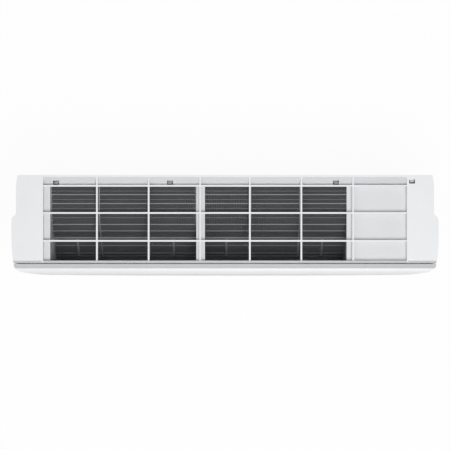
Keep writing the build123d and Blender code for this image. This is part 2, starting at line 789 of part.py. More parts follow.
def pipe(name, place, radius, drop_x, drop_y, low_z, end_x):
    """Copper pipe from the coil, down behind the electrical box and along the channel."""
    route = [
        (pipe_start_x, *place), (drop_x, *place), (drop_x, drop_y, place[1] - 45.0),
        (drop_x, drop_y, low_z), (end_x, drop_y, low_z),
    ]
    with BuildPart() as tube:
        with BuildLine() as path:
            FilletPolyline(*route, radius=pipe_bend_radius)
        with BuildSketch(Plane(origin=route[0], z_dir=(1, 0, 0))):
            RegularPolygon(radius, tube_sides)
        sweep(path=path.wire())
    tube.part.label = name
    export_step(tube.part, f"parts/{name}.step")


def union(name, radius, thread_radius, y, z, end_x):
    """Flare union on a pipe's end: a hexagon and a threaded nose."""
    with BuildPart() as fitting:
        with BuildSketch(Plane(origin=(end_x, y, z), z_dir=(-1, 0, 0))):
            RegularPolygon(thread_radius + 2.5, 6)
        extrude(amount=union_length - union_thread_length)
        thread_x = end_x - union_length + union_thread_length
        with BuildSketch(Plane(origin=(thread_x, y, z), z_dir=(-1, 0, 0))):
            Circle(thread_radius)
        extrude(amount=union_thread_length)
        with Locations(Plane(origin=(end_x - union_length / 2, y, z), z_dir=(-1, 0, 0))):
            Cylinder(radius - pipe_wall, union_length + 1, mode=Mode.SUBTRACT)
    fitting.part.label = name
    export_step(fitting.part, f"parts/{name}.step")


liquid_thread_radius = 5.56
gas_thread_radius = 7.94
pipe("liquid_pipe", liquid_place, liquid_radius, pipe_drop_x[0], pipe_drop_y[0], pipe_low_z[0],
     pipe_end_x[0])
pipe("gas_pipe", gas_place, gas_radius, pipe_drop_x[1], pipe_drop_y[1], pipe_low_z[1], pipe_end_x[1])
union("liquid_union", liquid_radius, liquid_thread_radius, pipe_drop_y[0], pipe_low_z[0], pipe_end_x[0])
union("gas_union", gas_radius, gas_thread_radius, pipe_drop_y[1], pipe_low_z[1], pipe_end_x[1])

with BuildPart() as pipe_clamp:
    add(box_between(clamp_x, (channel_front_y + wall, pipe_drop_y[0] + clamp_wall),
                    (pipe_low_z[1] - clamp_wall, channel_roof_z - seat_gap)))
    for radius, y, z in zip((liquid_radius, gas_radius), pipe_drop_y, pipe_low_z):
        with Locations(Plane(origin=(clamp_x[0], y, z), z_dir=(1, 0, 0))):
            Cylinder(radius + 2 * shaft_gap, 3 * clamp_wall, mode=Mode.SUBTRACT)
pipe_clamp.part.label = "pipe_clamp"
export_step(pipe_clamp.part, "parts/pipe_clamp.step")

# ---------------------------------------------------------------- drain pan and outlet roof
pan_inner_y = -136.0
pan_front_y = case_front_y + wall + slot_gap
pan_nose_reach = 12.0
pan_front_chain = parallel([(case_front_y, pan_rim_z), (case_front_y, case_chin_z),
                            beside((case_front_y, case_chin_z), chin_run, pan_nose_reach, 0)], wall + slot_gap)
pan_section = [
    (-131.0, -44.0), beside(pan_front_chain[2], chin_run, 0, wall), *reversed(pan_front_chain),
    (pan_front_y + wall, pan_rim_z),
    (pan_front_y + wall, -50.0), (pan_inner_y - 2.0, -46.0), (pan_inner_y - 2.0, -32.0),
    (pan_inner_y, -29.0), (-132.5, -29.0), (-130.0, -41.0),
]
pan_x = (duct_left_x + slot_gap, duct_right_x - slot_gap)
with BuildPart() as drain_pan:
    extrude(outline(pan_section, pan_x[0]), amount=pan_x[1] - pan_x[0])
    for edge in (pan_x[0], pan_x[1] - wall):
        end_stop = [(pan_front_y, -52.0), (pan_front_y, pan_rim_z - 8.0), (pan_inner_y, pan_rim_z - 8.0),
                    (pan_inner_y, -48.0)]
        extrude(outline(end_stop, edge), amount=wall)
    extrude(round_section(pan_spigot, pan_spigot_radius, pan_x[1] - wall), amount=wall + pan_spigot_length)
    extrude(round_section(pan_spigot, pan_spigot_bore, pan_x[1] - 2 * wall),
            amount=3 * wall + pan_spigot_length, mode=Mode.SUBTRACT)
    with Locations(*[Plane(origin=(x, pan_front_y, screw_z), z_dir=(0, 1, 0)) for x in screw_x]):
        Cylinder(screw_radius + shaft_gap, 26.0, mode=Mode.SUBTRACT)
drain_pan.part.label = "drain_pan"
export_step(drain_pan.part, "parts/drain_pan.step")

# ---------------------------------------------------------------- rear chassis
claw_foot_z = (chassis_top_z - claw_foot_drop, chassis_top_z - claw_foot_drop + claw_foot)
with BuildPart() as rear_chassis:
    # back wall, channel roof and front, bottom
    add(box_between((-chassis_half, chassis_half), (chassis_back_y - wall, chassis_back_y),
                    (channel_roof_z, chassis_top_z)))
    add(box_between((-chassis_half, chassis_half), (channel_front_y, chassis_back_y),
                    (channel_roof_z, channel_roof_z + wall)))
    add(box_between((-chassis_half, chassis_half), (channel_front_y - wall, channel_front_y),
                    (bottom_z, channel_roof_z + wall)))
    add(box_between((-chassis_half, chassis_half), (chassis_bottom_front_y, channel_front_y),
                    (bottom_z, bottom_z + wall)))
    # cradle ribs behind the motor
    for x in cradle_rib_x:
        add(box_between((x, x + cradle_rib), (fan_axis[0] + seat_gap, chassis_back_y), cradle_z))
        extrude(round_section(fan_axis, motor_radius + seat_gap, x - 1), amount=cradle_rib + 2,
                mode=Mode.SUBTRACT)
    # bracket that carries the electrical box
    bracket_x = box_x[1] + seat_gap
    add(box_between((bracket_x, bracket_x + wall), (box_y[1], chassis_back_y), box_z))
    add(box_between((box_x[1] - bracket_flange, bracket_x + wall),
                    (box_y[1] + seat_gap, box_y[1] + seat_gap + wall), box_z))
    # notch for the pipes in the channel roof, slots for the wall plate's hooks
    add(box_between((pipe_drop_x[0] - notch_room, pipe_drop_x[1] + 0.5 * notch_room),
                    (channel_front_y + 0.5, chassis_back_y + 1),
                    (channel_roof_z - 1, channel_roof_z + wall + 1)), mode=Mode.SUBTRACT)
    with Locations(*[(x, chassis_back_y - wall / 2, plate_hook_z - hook_slot_drop)
                     for x in (-plate_hook_x, plate_hook_x)]):
        Box(plate_hook_width + 2.0, 2 * wall, plate_hook_height + 2.2, mode=Mode.SUBTRACT)
    # claws under the windows of the case
    for x in claw_window_x:
        claw_x = (x - claw_size[0] / 2, x + claw_size[0] / 2)
        claw_front_y = claw_window_y - claw_size[1] / 2
        add(box_between(claw_x, (claw_front_y, chassis_back_y - wall), claw_foot_z))
        add(box_between(claw_x, (claw_front_y, claw_window_y), (claw_foot_z[0], top_z - claw_tip_drop)))
    add(box_between((end_claw[0] - claw_size[0] / 2, end_claw[0] + claw_size[0] / 2),
                    (end_claw[1] - claw_size[1] / 2, chassis_back_y - end_claw_back),
                    (chassis_top_z - wall, top_z - end_claw_tip_drop)))
rear_chassis.part.label = "rear_chassis"
export_step(rear_chassis.part, "parts/rear_chassis.step")

# ---------------------------------------------------------------- air duct: scroll, trough and end walls
scroll_chain = [scroll_lip, scroll_back, scroll_low, duct_rear, duct_front]
duct_back_y = chassis_back_y - wall
end_wall = [
    (duct_back_y, channel_roof_z + wall), (duct_back_y, trough_z),
    beside(rear_slab[2], rear_run, 0, 3.0), beside(rear_slab[3], rear_run, 15.0, 3.0),
    beside(upper_slab[3], slope, 1.0, -3.0), beside(upper_slab[2], slope, 0, -3.0),
    (lower_slab[2][0] - 1.5, lower_slab[3][1]), (lower_slab[2][0] - 1.5, -45.0),
    (-147.0, -57.0), (-178.0, -80.5), beside(outlet_top, outlet_up, -8.0, -3.0),
    beside(outlet_bottom, outlet_up, 6.0, -3.0), (duct_front[0] + 0.2, duct_front[1] + 0.5),
    (duct_front[0] + 2.0, duct_front[1] - 3.5), (chassis_bottom_front_y, bottom_z + wall),
    (channel_front_y - wall, bottom_z + wall), (channel_front_y - wall, channel_roof_z + wall),
]
vane_group_centres = [
    duct_left_x + (duct_right_x - duct_left_x) / 4,
    duct_right_x - (duct_right_x - duct_left_x) / 4,
]
vane_x = {}
for group, centre in zip(("left", "right"), vane_group_centres):
    middle = (vanes_per_group - 1) / 2
    vane_x[group] = [centre + vane_pitch * (index - middle) for index in range(vanes_per_group)]
with BuildPart() as pivot_holes:
    for group in vane_x:
        for x in vane_x[group]:
            with BuildSketch(duct_plane(x, vane_pivot_flow, -2 * wall)):
                Circle(vane_pin_radius + shaft_gap)
            extrude(amount=3 * wall)
with BuildPart() as duct_shell:
    scroll_x = (end_wall_left[0], end_wall_right[1])
    extrude(band(scroll_chain, scroll_radii, 0, wall, scroll_x[0]), amount=scroll_x[1] - scroll_x[0])
    add(box_between(scroll_x, (scroll_lip[0], duct_back_y), (trough_z - wall, trough_z)))
    for edge in (end_wall_left[0], end_wall_right[0]):
        extrude(outline(end_wall, edge), amount=wall)
    extrude(round_section(fan_axis, bearing_hole_radius, end_wall_left[0] - 1), amount=wall + 2,
            mode=Mode.SUBTRACT)
    extrude(round_section(fan_axis, motor_boss_radius + 5, end_wall_right[0] - 1), amount=wall + 2,
            mode=Mode.SUBTRACT)
    for edge in (end_wall_left[0], end_wall_right[0]):
        extrude(round_section(louver_axis, louver_pin_radius + shaft_gap, edge - 1), amount=wall + 2,
                mode=Mode.SUBTRACT)
with BuildPart() as air_duct:
    add(duct_shell.part)
    add(pivot_holes.part, mode=Mode.SUBTRACT)
air_duct.part.label = "air_duct"
export_step(air_duct.part, "parts/air_duct.step")

# ---------------------------------------------------------------- crossflow fan
section_length = (fan_right_x - fan_left_x - fan_disc) / fan_sections
blade_angle = degrees(fan_blade / fan_blade_inner)


def polar(radius, angle):
    """Point of the side plane at a radius and an angle round the fan's axis."""
    return (fan_axis[0] + radius * cos(radians(angle)), fan_axis[1] + radius * sin(radians(angle)))


def blade_outline(angle):
    """Thin blade that leans forwards."""
    tip_radius = fan_radius - 1.0
    return [
        polar(fan_blade_inner, angle), polar(tip_radius, angle + fan_blade_lean),
        polar(tip_radius, angle + fan_blade_lean + blade_angle), polar(fan_blade_inner, angle + blade_angle),
    ]


with BuildPart() as fan_wheel:
    for index in range(fan_sections + 1):
        x = fan_left_x + index * section_length
        bore = 0.0 if index in (0, fan_sections) else fan_blade_inner - 3.0
        extrude(round_section(fan_axis, fan_radius, x, bore), amount=fan_disc)
    for index in range(fan_blades):
        blade = outline(blade_outline(360 * index / fan_blades), fan_left_x + fan_disc / 2)
        extrude(blade, amount=fan_right_x - fan_left_x - fan_disc)
    extrude(round_section(fan_axis, fan_boss_radius, fan_right_x), amount=fan_boss_length)
    extrude(round_section(fan_axis, fan_boss_radius, fan_left_x + fan_disc), amount=fan_boss_length)
    extrude(round_section(fan_axis, left_shaft_radius, fan_left_x - 1), amount=fan_disc + fan_boss_length + 2,
            mode=Mode.SUBTRACT)
    extrude(round_section(fan_axis, motor_shaft_radius, fan_right_x - fan_disc - 1),
            amount=fan_disc + fan_boss_length + 2, mode=Mode.SUBTRACT)
fan_wheel.part.label = "fan_wheel"
export_step(fan_wheel.part, "parts/fan_wheel.step")

left_shaft = (end_wall_left[0] - 8.0, fan_left_x + fan_disc + fan_boss_length)
motor_shaft = (fan_right_x - fan_disc, motor_left_x + 20.0)
with BuildPart() as fan_shaft:
    extrude(round_section(fan_axis, left_shaft_radius, left_shaft[0]), amount=left_shaft[1] - left_shaft[0])
    extrude(round_section(fan_axis, motor_shaft_radius, motor_shaft[0]),
            amount=motor_shaft[1] - motor_shaft[0])
fan_shaft.part.label = "fan_shaft"
export_step(fan_shaft.part, "parts/fan_shaft.step")

with BuildPart() as bearing_housing:
    extrude(round_section(fan_axis, bearing_hole_radius - shaft_gap, end_wall_left[0] - 5.0,
                          bearing_bush_radius + shaft_gap), amount=wall + 5.0)
    extrude(round_section(fan_axis, bearing_hole_radius + 6.0, end_wall_left[0] - seat_gap - 3.0,
                          bearing_bush_radius + shaft_gap), amount=3.0)
bearing_housing.part.label = "bearing_housing"
export_step(bearing_housing.part, "parts/bearing_housing.step")

with BuildPart() as fan_bearing:
    extrude(round_section(fan_axis, bearing_bush_radius, end_wall_left[0] - 5.0,
                          left_shaft_radius + shaft_gap), amount=wall + 5.0)
fan_bearing.part.label = "fan_bearing"
export_step(fan_bearing.part, "parts/fan_bearing.step")

with BuildPart() as fan_motor:
    extrude(round_section(fan_axis, motor_radius, motor_left_x), amount=motor_length)
    chamfer(fan_motor.edges().filter_by(GeomType.CIRCLE), 4.0)
    extrude(round_section(fan_axis, motor_boss_radius, motor_left_x - motor_boss_length),
            amount=motor_boss_length)
    extrude(round_section(fan_axis, motor_shaft_radius + shaft_gap, motor_left_x - motor_boss_length - 1),
            amount=motor_boss_length + 22.0, mode=Mode.SUBTRACT)
fan_motor.part.label = "fan_motor"
export_step(fan_motor.part, "parts/fan_motor.step")

strap_x = (cradle_rib_x[0] - 4.0, cradle_rib_x[1] + cradle_rib + 4.0)
strap_inner = motor_radius + seat_gap
with BuildPart() as motor_strap:
    extrude(round_section(fan_axis, strap_inner + wall, strap_x[0], strap_inner),
            amount=strap_x[1] - strap_x[0])
    add(box_between(strap_x, (fan_axis[0], 0), (fan_axis[1] - 60.0, fan_axis[1] + 60.0)), mode=Mode.SUBTRACT)
    for side in (1, -1):
        z = sorted((fan_axis[1] + side * strap_inner, fan_axis[1] + side * (strap_inner + 7.0)))
        add(box_between(strap_x, (fan_axis[0] - wall, fan_axis[0]), z))
motor_strap.part.label = "motor_strap"
export_step(motor_strap.part, "parts/motor_strap.step")

# ---------------------------------------------------------------- louver
louver_x = (duct_left_x + 1.0, duct_right_x - 1.0)
louver_blade = rectangle_points(louver_start, outlet_up, louver_length, -louver_thickness)
with BuildPart() as louver:
    with BuildSketch(Plane.YZ.offset(louver_x[0])):
        with BuildLine():
            bulge = beside(louver_start, outlet_up, louver_length / 2, 1.5)
            ThreePointArc(louver_blade[0], bulge, louver_blade[1])
            Line(louver_blade[1], louver_blade[2])
            inner_bulge = beside(louver_start, outlet_up, louver_length / 2, 1.5 - louver_thickness)
            ThreePointArc(louver_blade[2], inner_bulge, louver_blade[3])
            Line(louver_blade[3], louver_blade[0])
        make_face()
    extrude(amount=louver_x[1] - louver_x[0])
    arm_root = [
        beside(louver_start, outlet_up, louver_pivot_along - 9.0, -1.0),
        beside(louver_start, outlet_up, louver_pivot_along + 9.0, -1.0),
    ]
    for edge in (louver_x[0], louver_x[1] - wall):
        with BuildSketch(Plane.YZ.offset(edge)) as arm_section:
            with Locations(louver_axis):
                Circle(louver_hub_radius)
            with BuildLine():
                Line(*arm_root)
            make_hull()
        extrude(amount=wall)
    extrude(round_section(louver_axis, louver_pin_radius, end_wall_left[0] - 1.0),
            amount=louver_x[0] - end_wall_left[0] + 2.0)
    extrude(round_section(louver_axis, louver_pin_radius, louver_x[1] - 1.0),
            amount=end_wall_right[1] + 9.0 - louver_x[1])
louver.part.label = "louver"
export_step(louver.part, "parts/louver.step")

with BuildPart() as louver_motor:
    extrude(round_section(beside(louver_axis, outlet_up, 0, -stepper_offset), stepper_radius,
                          end_wall_right[1] + seat_gap), amount=stepper_length)
    extrude(round_section(louver_axis, louver_pin_radius + shaft_gap, end_wall_right[1]), amount=10.0,
            mode=Mode.SUBTRACT)
louver_motor.part.label = "louver_motor"
export_step(louver_motor.part, "parts/louver_motor.step")

# ---------------------------------------------------------------- swing vanes, link bars and motors
vane_flow = (vane_pivot_flow - vane_half_chord, vane_pivot_flow + vane_half_chord)
link_flow = vane_pivot_flow + vane_crank


def swing_vane(name, x, pin_depth):
    """Vane standing above the duct's floor, with its pivot pin, crank notch and link pin."""
    blade = [
        duct_point(vane_flow[0], vane_lift + 4.0), duct_point(vane_flow[0] + 6.0, vane_lift),
        duct_point(vane_flow[1], vane_lift), duct_point(vane_flow[1], vane_height - 8.0),
        duct_point(vane_flow[1] - 8.0, vane_height), duct_point(vane_flow[0] + 6.0, vane_height),
        duct_point(vane_flow[0], vane_height - 10.0),
    ]
    notch = [
        duct_point(link_flow - link_notch - 0.5, link_height - link_notch),
        duct_point(link_flow + 8.0, link_height - link_notch),
        duct_point(link_flow + 8.0, link_height + link_notch),
        duct_point(link_flow - link_notch - 0.5, link_height + link_notch),
    ]
    with BuildPart() as vane:
        extrude(outline(blade, x - vane_thickness / 2), amount=vane_thickness)
        extrude(outline(notch, x - vane_thickness), amount=2 * vane_thickness, mode=Mode.SUBTRACT)
        with BuildSketch(duct_plane(x, vane_pivot_flow, -pin_depth)):
            Circle(vane_pin_radius)
        extrude(amount=pin_depth + vane_lift)
        with BuildSketch(duct_plane(x, link_flow, link_height - link_notch)):
            Circle(link_pin_radius)
        extrude(amount=2 * link_notch)
    vane.part.label = name
    export_step(vane.part, f"parts/{name}.step")


def link_bar(name, places):
    """Bar that ties the vanes of one group together at their link pins."""
    with BuildPart() as bar:
        with BuildSketch(duct_plane(0, link_flow, link_height - link_thickness / 2)):
            with Locations(((places[0] + places[-1]) / 2, 0)):
                SlotCenterToCenter(places[-1] - places[0], link_width)
            with Locations(*[(x, 0) for x in places]):
                Circle(link_pin_radius + shaft_gap, mode=Mode.SUBTRACT)
        extrude(amount=link_thickness)
    bar.part.label = name
    export_step(bar.part, f"parts/{name}.step")


def swing_motor(name, x):
    """Small stepper motor under the duct's floor, on the first vane's pivot."""
    with BuildPart() as motor:
        with BuildSketch(duct_plane(x, vane_pivot_flow, -wall - seat_gap - stepper_length)):
            Circle(stepper_radius)
        extrude(amount=stepper_length)
        with BuildSketch(duct_plane(x, vane_pivot_flow, -wall - seat_gap - 8.0)):
            Circle(vane_pin_radius + shaft_gap)
        extrude(amount=9.0, mode=Mode.SUBTRACT)
    motor.part.label = name
    export_step(motor.part, f"parts/{name}.step")


for group, places in vane_x.items():
    for index, x in enumerate(places, start=1):
        swing_vane(f"vane_{group}_{index}", x, wall + 7.0 if index == 1 else wall + 1.0)
    link_bar(f"link_bar_{group}", places)
    swing_motor(f"swing_motor_{group}", places[0])

# ---------------------------------------------------------------- electrical box
with BuildPart() as electrical_box:
    add(box_between(box_x, box_y, box_z))
    add(box_between((box_x[0] + box_wall, box_x[1] - box_wall), (box_y[0] - 1, box_y[1] - box_wall),
                    (box_z[0] + box_wall, box_z[1] - box_wall)), mode=Mode.SUBTRACT)
    for x in (box_x[0] + 22.0, box_x[1] - 20.0):
        for z in (box_z[0] + 62.0, box_z[1] - 12.0):
            with Locations(Plane(origin=(x, box_y[1] - box_wall - board_post / 2, z), z_dir=(0, 1, 0))):
                Cylinder(board_post_radius, board_post)
    add(box_between((box_x[1] - 40.0, box_x[1] - 24.0), box_y, (box_z[0] - 1, box_z[0] + box_wall + 1)),
        mode=Mode.SUBTRACT)
    add(box_between((box_x[1] - 40.0, box_x[1] - 24.0), (box_y[1] - 14.0, box_y[1]),
                    (box_z[0], box_z[0] + box_wall)))
electrical_box.part.label = "electrical_box"
export_step(electrical_box.part, "parts/electrical_box.step")

cover_y = box_y[0] - seat_gap - cover_thickness
cover_z = (box_z[0] + cover_above, box_z[1])
with BuildPart() as electrical_cover:
    add(box_between(box_x, (cover_y, box_y[0] - seat_gap), cover_z))
    add(box_between((box_x[0] - seat_gap - cover_thickness, box_x[0]), (cover_y, box_y[0] - seat_gap),
                    cover_z))
    add(box_between((box_x[0] - seat_gap - cover_thickness, box_x[0] - seat_gap),
                    (cover_y, box_y[0] + cover_flange), cover_z))
electrical_cover.part.label = "electrical_cover"
export_step(electrical_cover.part, "parts/electrical_cover.step")

board_y = box_y[1] - box_wall - board_post - seat_gap
board_face_y = board_y - board_thickness
with BuildPart() as control_board:
    add(box_between((box_x[0] + board_inset[0], box_x[1] - board_inset[1]), (board_face_y, board_y),
                    (box_z[0] + board_above, box_z[1] - board_below)))
    # two round capacitors
    with BuildSketch(Plane.XZ.offset(-board_face_y)):
        with Locations(*[(box_x[0] + x, box_z[1] - capacitor_drop) for x in capacitor_x]):
            Circle(capacitor_radius)
    extrude(amount=capacitor_height)
    # relay, then the row of connectors
    add(box_between((box_x[0] + relay_x[0], box_x[0] + relay_x[1]),
                    (board_face_y - relay_height, board_face_y),
                    (box_z[1] - relay_drop[1], box_z[1] - relay_drop[0])))
    add(box_between((box_x[0] + plug_row_x[0], box_x[0] + plug_row_x[1]),
                    (board_face_y - plug_row_height, board_face_y),
                    (box_z[1] - plug_row_drop[1], box_z[1] - plug_row_drop[0])))
control_board.part.label = "control_board"
export_step(control_board.part, "parts/control_board.step")

terminal_x = (box_x[0] + terminal_along[0], box_x[0] + terminal_along[1])
terminal_y = (box_y[1] - box_wall - seat_gap - terminal_depth, box_y[1] - box_wall - seat_gap)
terminal_z = (box_z[0] + box_wall + seat_gap, box_z[0] + box_wall + terminal_rise)
with BuildPart() as terminal_block:
    add(box_between(terminal_x, terminal_y, terminal_z))
    for index in range(4):
        x = terminal_x[0] + 9.0 + 14.0 * index
        add(box_between((x - 5.0, x + 5.0), (terminal_y[0] - 1, terminal_y[0] + 9.0),
                        (terminal_z[0] + 4.0, terminal_z[1] - 4.0)), mode=Mode.SUBTRACT)
terminal_block.part.label = "terminal_block"
export_step(terminal_block.part, "parts/terminal_block.step")

with BuildPart() as cable_clamp:
    add(box_between((box_x[1] - 42.0, box_x[1] - 12.0), terminal_y, (terminal_z[0], terminal_z[0] + 7.0)))
    with Locations(((box_x[1] - 27.0), (terminal_y[0] + terminal_y[1]) / 2, terminal_z[0])):
        Cylinder(5.0, 30.0, mode=Mode.SUBTRACT)
cable_clamp.part.label = "cable_clamp"
export_step(cable_clamp.part, "parts/cable_clamp.step")

# ---------------------------------------------------------------- front panel
def panel_profile(inset, back_points, x):
    """Side outline of the panel, moved inwards and closed through given back points."""
    with BuildSketch(Plane.YZ.offset(x)) as profile:
        with BuildLine():
            skin = FilletPolyline(*parallel(panel_chain, inset),
                                  radius=parallel_radii(panel_chain, panel_radii, inset))
            Polyline(skin @ 1, *back_points, skin @ 0)
        make_face()
    return profile.sketch


form_back = [(panel_back_y, case_chin_z + panel_gap), (panel_back_y, top_z - panel_lip_drop - 1.5)]
with BuildPart() as panel_form:
    extrude(panel_profile(0, form_back, -half_width), amount=unit_width)
    extrude(panel_plan(0, panel_back_y), amount=unit_height, mode=Mode.INTERSECT)

foot_beyond = beside(panel_foot, unit(panel_chain[-2], panel_foot), 3.0, panel_wall)
hollow_back = [foot_beyond, (panel_back_y + 5.0, panel_foot[1] - 3.0), (panel_back_y + 5.0, top_z + 1.0),
               (panel_chain[0][0] + 0.01, top_z - panel_lip_drop + 0.01)]
with BuildPart() as panel_hollow:
    extrude(panel_profile(panel_wall, hollow_back, -half_width), amount=unit_width)
    extrude(panel_plan(panel_wall, panel_back_y + 5.0), amount=unit_height, mode=Mode.INTERSECT)

with BuildPart() as hinge_arm:
    arm_x = hinge_x + hinge_ear_width + seat_gap
    with BuildSketch(Plane.YZ.offset(arm_x)) as arm_profile:
        with Locations(hinge_axis):
            Circle(hinge_ear_radius)
        with BuildLine():
            Line((panel_front_y + 1.0, hinge_axis[1] - 4.0), (panel_front_y + 1.0, hinge_axis[1] - 22.0))
        make_hull()
    extrude(amount=hinge_arm_width)
    extrude(round_section(hinge_axis, hinge_pin_radius, hinge_x - 1.0), amount=hinge_ear_width + 2.0)

panel_skin = panel_form.part - panel_hollow.part
panel_arms = (hinge_arm.part + mirror(hinge_arm.part, about=Plane.YZ)) & panel_form.part
window_block = box_between(window_x, (panel_front_y - 5.0, panel_front_y + 8.0), window_z)
window_hole = box_between((window_x[0] - window_gap, window_x[1] + window_gap),
                          (panel_front_y - 5.0, panel_front_y + 8.0),
                          (window_z[0] - window_gap, window_z[1] + window_gap))
receiver_lens = panel_skin & window_block
with BuildPart() as front_panel:
    add(panel_skin)
    add(panel_arms)
    add(window_hole, mode=Mode.SUBTRACT)
front_panel.part.label = "front_panel"
export_step(front_panel.part, "parts/front_panel.step")

with BuildPart() as receiver_window:
    add(receiver_lens)
receiver_window.part.label = "receiver_window"
export_step(receiver_window.part, "parts/receiver_window.step")

# ---------------------------------------------------------------- display, button, screws
with BuildPart() as display_board:
    add(box_between((window_x[0] - 6.0, window_x[1] + 6.0),
                    (case_front_y - seat_gap - board_thickness, case_front_y - seat_gap),
                    (window_z[0] - 4.0, window_z[1] + 6.0)))
    with Locations((window_x[0] + 8.0, case_front_y - seat_gap - board_thickness - 2.5,
                    (window_z[0] + window_z[1]) / 2)):
        Box(7.0, 5.0, 8.0)
display_board.part.label = "display_board"
export_step(display_board.part, "parts/display_board.step")

flange_y = case_front_y + wall + seat_gap
with BuildPart() as manual_button:
    with Locations(Plane(origin=(button_place[0], flange_y, button_place[1]), z_dir=(0, -1, 0))):
        Cylinder(button_radius, wall + seat_gap + 4.0, align=(Align.CENTER, Align.CENTER, Align.MIN))
    with Locations(Plane(origin=(button_place[0], flange_y, button_place[1]), z_dir=(0, 1, 0))):
        Cylinder(button_radius + 1.5, 1.0, align=(Align.CENTER, Align.CENTER, Align.MIN))
manual_button.part.label = "manual_button"
export_step(manual_button.part, "parts/manual_button.step")

with BuildPart() as case_screws:
    with Locations(*[Plane(origin=(x, case_front_y - seat_gap, screw_z), z_dir=(0, -1, 0)) for x in screw_x]):
        Cylinder(screw_head_radius, 2.0, align=(Align.CENTER, Align.CENTER, Align.MIN))
    with Locations(*[Plane(origin=(x, case_front_y - seat_gap, screw_z), z_dir=(0, 1, 0)) for x in screw_x]):
        Cylinder(screw_radius, 14.0, align=(Align.CENTER, Align.CENTER, Align.MIN))
case_screws.part.label = "case_screws"
export_step(case_screws.part, "parts/case_screws.step")

# ---------------------------------------------------------------- mounting plate
hook_reach_y = chassis_back_y - wall - 3.5
with BuildPart() as mounting_plate:
    with BuildSketch(Plane.XZ):
        Rectangle(*plate_size)
        with GridLocations(plate_bolt_spacing[0], plate_bolt_spacing[1], 2, 2):
            Circle(plate_bolt_radius, mode=Mode.SUBTRACT)
        with Locations((0, 0)):
            SlotOverall(220.0, 60.0, mode=Mode.SUBTRACT)
    extrude(amount=plate_thickness)
    for side in (-1, 1):
        x = (side * plate_hook_x - plate_hook_width / 2, side * plate_hook_x + plate_hook_width / 2)
        add(box_between(x, (hook_reach_y, -plate_thickness), (plate_hook_z, plate_hook_z + plate_thickness)))
        add(box_between(x, (hook_reach_y, hook_reach_y + plate_thickness),
                        (plate_hook_z, plate_hook_z + plate_hook_height)))
        add(box_between(x, (chassis_back_y + seat_gap, -plate_thickness),
                        (-plate_size[1] / 2 + 12.0, -plate_size[1] / 2 + 12.0 + plate_thickness)))
mounting_plate.part.label = "mounting_plate"
export_step(mounting_plate.part, "parts/mounting_plate.step")
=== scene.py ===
import bpy
import bmesh
import json
import math
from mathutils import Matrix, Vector


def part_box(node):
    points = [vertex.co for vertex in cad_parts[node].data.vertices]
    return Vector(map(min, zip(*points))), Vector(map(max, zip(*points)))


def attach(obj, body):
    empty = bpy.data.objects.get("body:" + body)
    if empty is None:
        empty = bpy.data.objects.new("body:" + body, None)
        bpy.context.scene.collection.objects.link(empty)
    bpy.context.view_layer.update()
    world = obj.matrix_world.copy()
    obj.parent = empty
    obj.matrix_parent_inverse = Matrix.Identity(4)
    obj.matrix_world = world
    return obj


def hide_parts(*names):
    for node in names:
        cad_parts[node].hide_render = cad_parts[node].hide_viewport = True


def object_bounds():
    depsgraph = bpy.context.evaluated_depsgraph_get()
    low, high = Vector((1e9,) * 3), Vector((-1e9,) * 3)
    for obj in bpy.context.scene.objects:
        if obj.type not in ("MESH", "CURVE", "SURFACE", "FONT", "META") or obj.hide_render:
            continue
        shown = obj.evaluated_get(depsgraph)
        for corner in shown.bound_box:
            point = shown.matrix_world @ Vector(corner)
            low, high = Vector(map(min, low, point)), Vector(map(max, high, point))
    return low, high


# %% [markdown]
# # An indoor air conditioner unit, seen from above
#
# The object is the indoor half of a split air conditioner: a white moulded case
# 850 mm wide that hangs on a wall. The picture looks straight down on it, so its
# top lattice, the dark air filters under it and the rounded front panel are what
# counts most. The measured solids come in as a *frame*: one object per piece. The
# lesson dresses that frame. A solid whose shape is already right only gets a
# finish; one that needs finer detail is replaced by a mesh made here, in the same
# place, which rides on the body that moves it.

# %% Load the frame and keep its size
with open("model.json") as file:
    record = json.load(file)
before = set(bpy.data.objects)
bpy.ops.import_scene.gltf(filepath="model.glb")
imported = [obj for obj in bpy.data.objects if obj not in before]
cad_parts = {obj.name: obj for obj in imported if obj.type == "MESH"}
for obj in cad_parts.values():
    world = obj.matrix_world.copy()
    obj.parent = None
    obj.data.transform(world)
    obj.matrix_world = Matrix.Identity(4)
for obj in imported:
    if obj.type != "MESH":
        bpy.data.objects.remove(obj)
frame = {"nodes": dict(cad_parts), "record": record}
cad_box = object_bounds()
nodes = frame["nodes"]
scene = bpy.context.scene
mm = 0.001


def size_in_mm(box):
    """Width, depth and height of a box, for printing."""
    return [round((high - low) / mm, 1) for low, high in zip(*box)]


print("pieces in the frame:", len(nodes))
print("size in mm:", size_in_mm(cad_box))

# %% [markdown]
# ## Camera
#
# The picture shows the back edge of the unit as a straight line and almost nothing
# of its sides, so the camera hangs above it and looks straight down, with the wall
# towards the top of the picture. At the height of the top face one pixel covers
# 1.99 mm. A long lens from 2.8 m away gives the small amount of perspective that
# shows inside the lattice. The camera is built from those numbers, because then
# its framing can be checked against them and needs no trial and error.

# %% Camera from the picture's scale
top_z = cad_box[1][2]
pixel = 1.99 * mm
picture = 450
sensor_width = 36.0
camera_y = -0.1005
camera_distance = 2.8
camera_data = bpy.data.cameras.new("camera_above")
camera_data.sensor_fit = "HORIZONTAL"
camera_data.sensor_width = sensor_width
camera_data.lens = sensor_width * camera_distance / (picture * pixel)
camera_data.clip_end = 50.0
camera = bpy.data.objects.new("camera_above", camera_data)
camera.location = (0.0, camera_y, top_z + camera_distance)
scene.collection.objects.link(camera)
scene.camera = camera
print("lens:", round(camera_data.lens, 1), "mm")


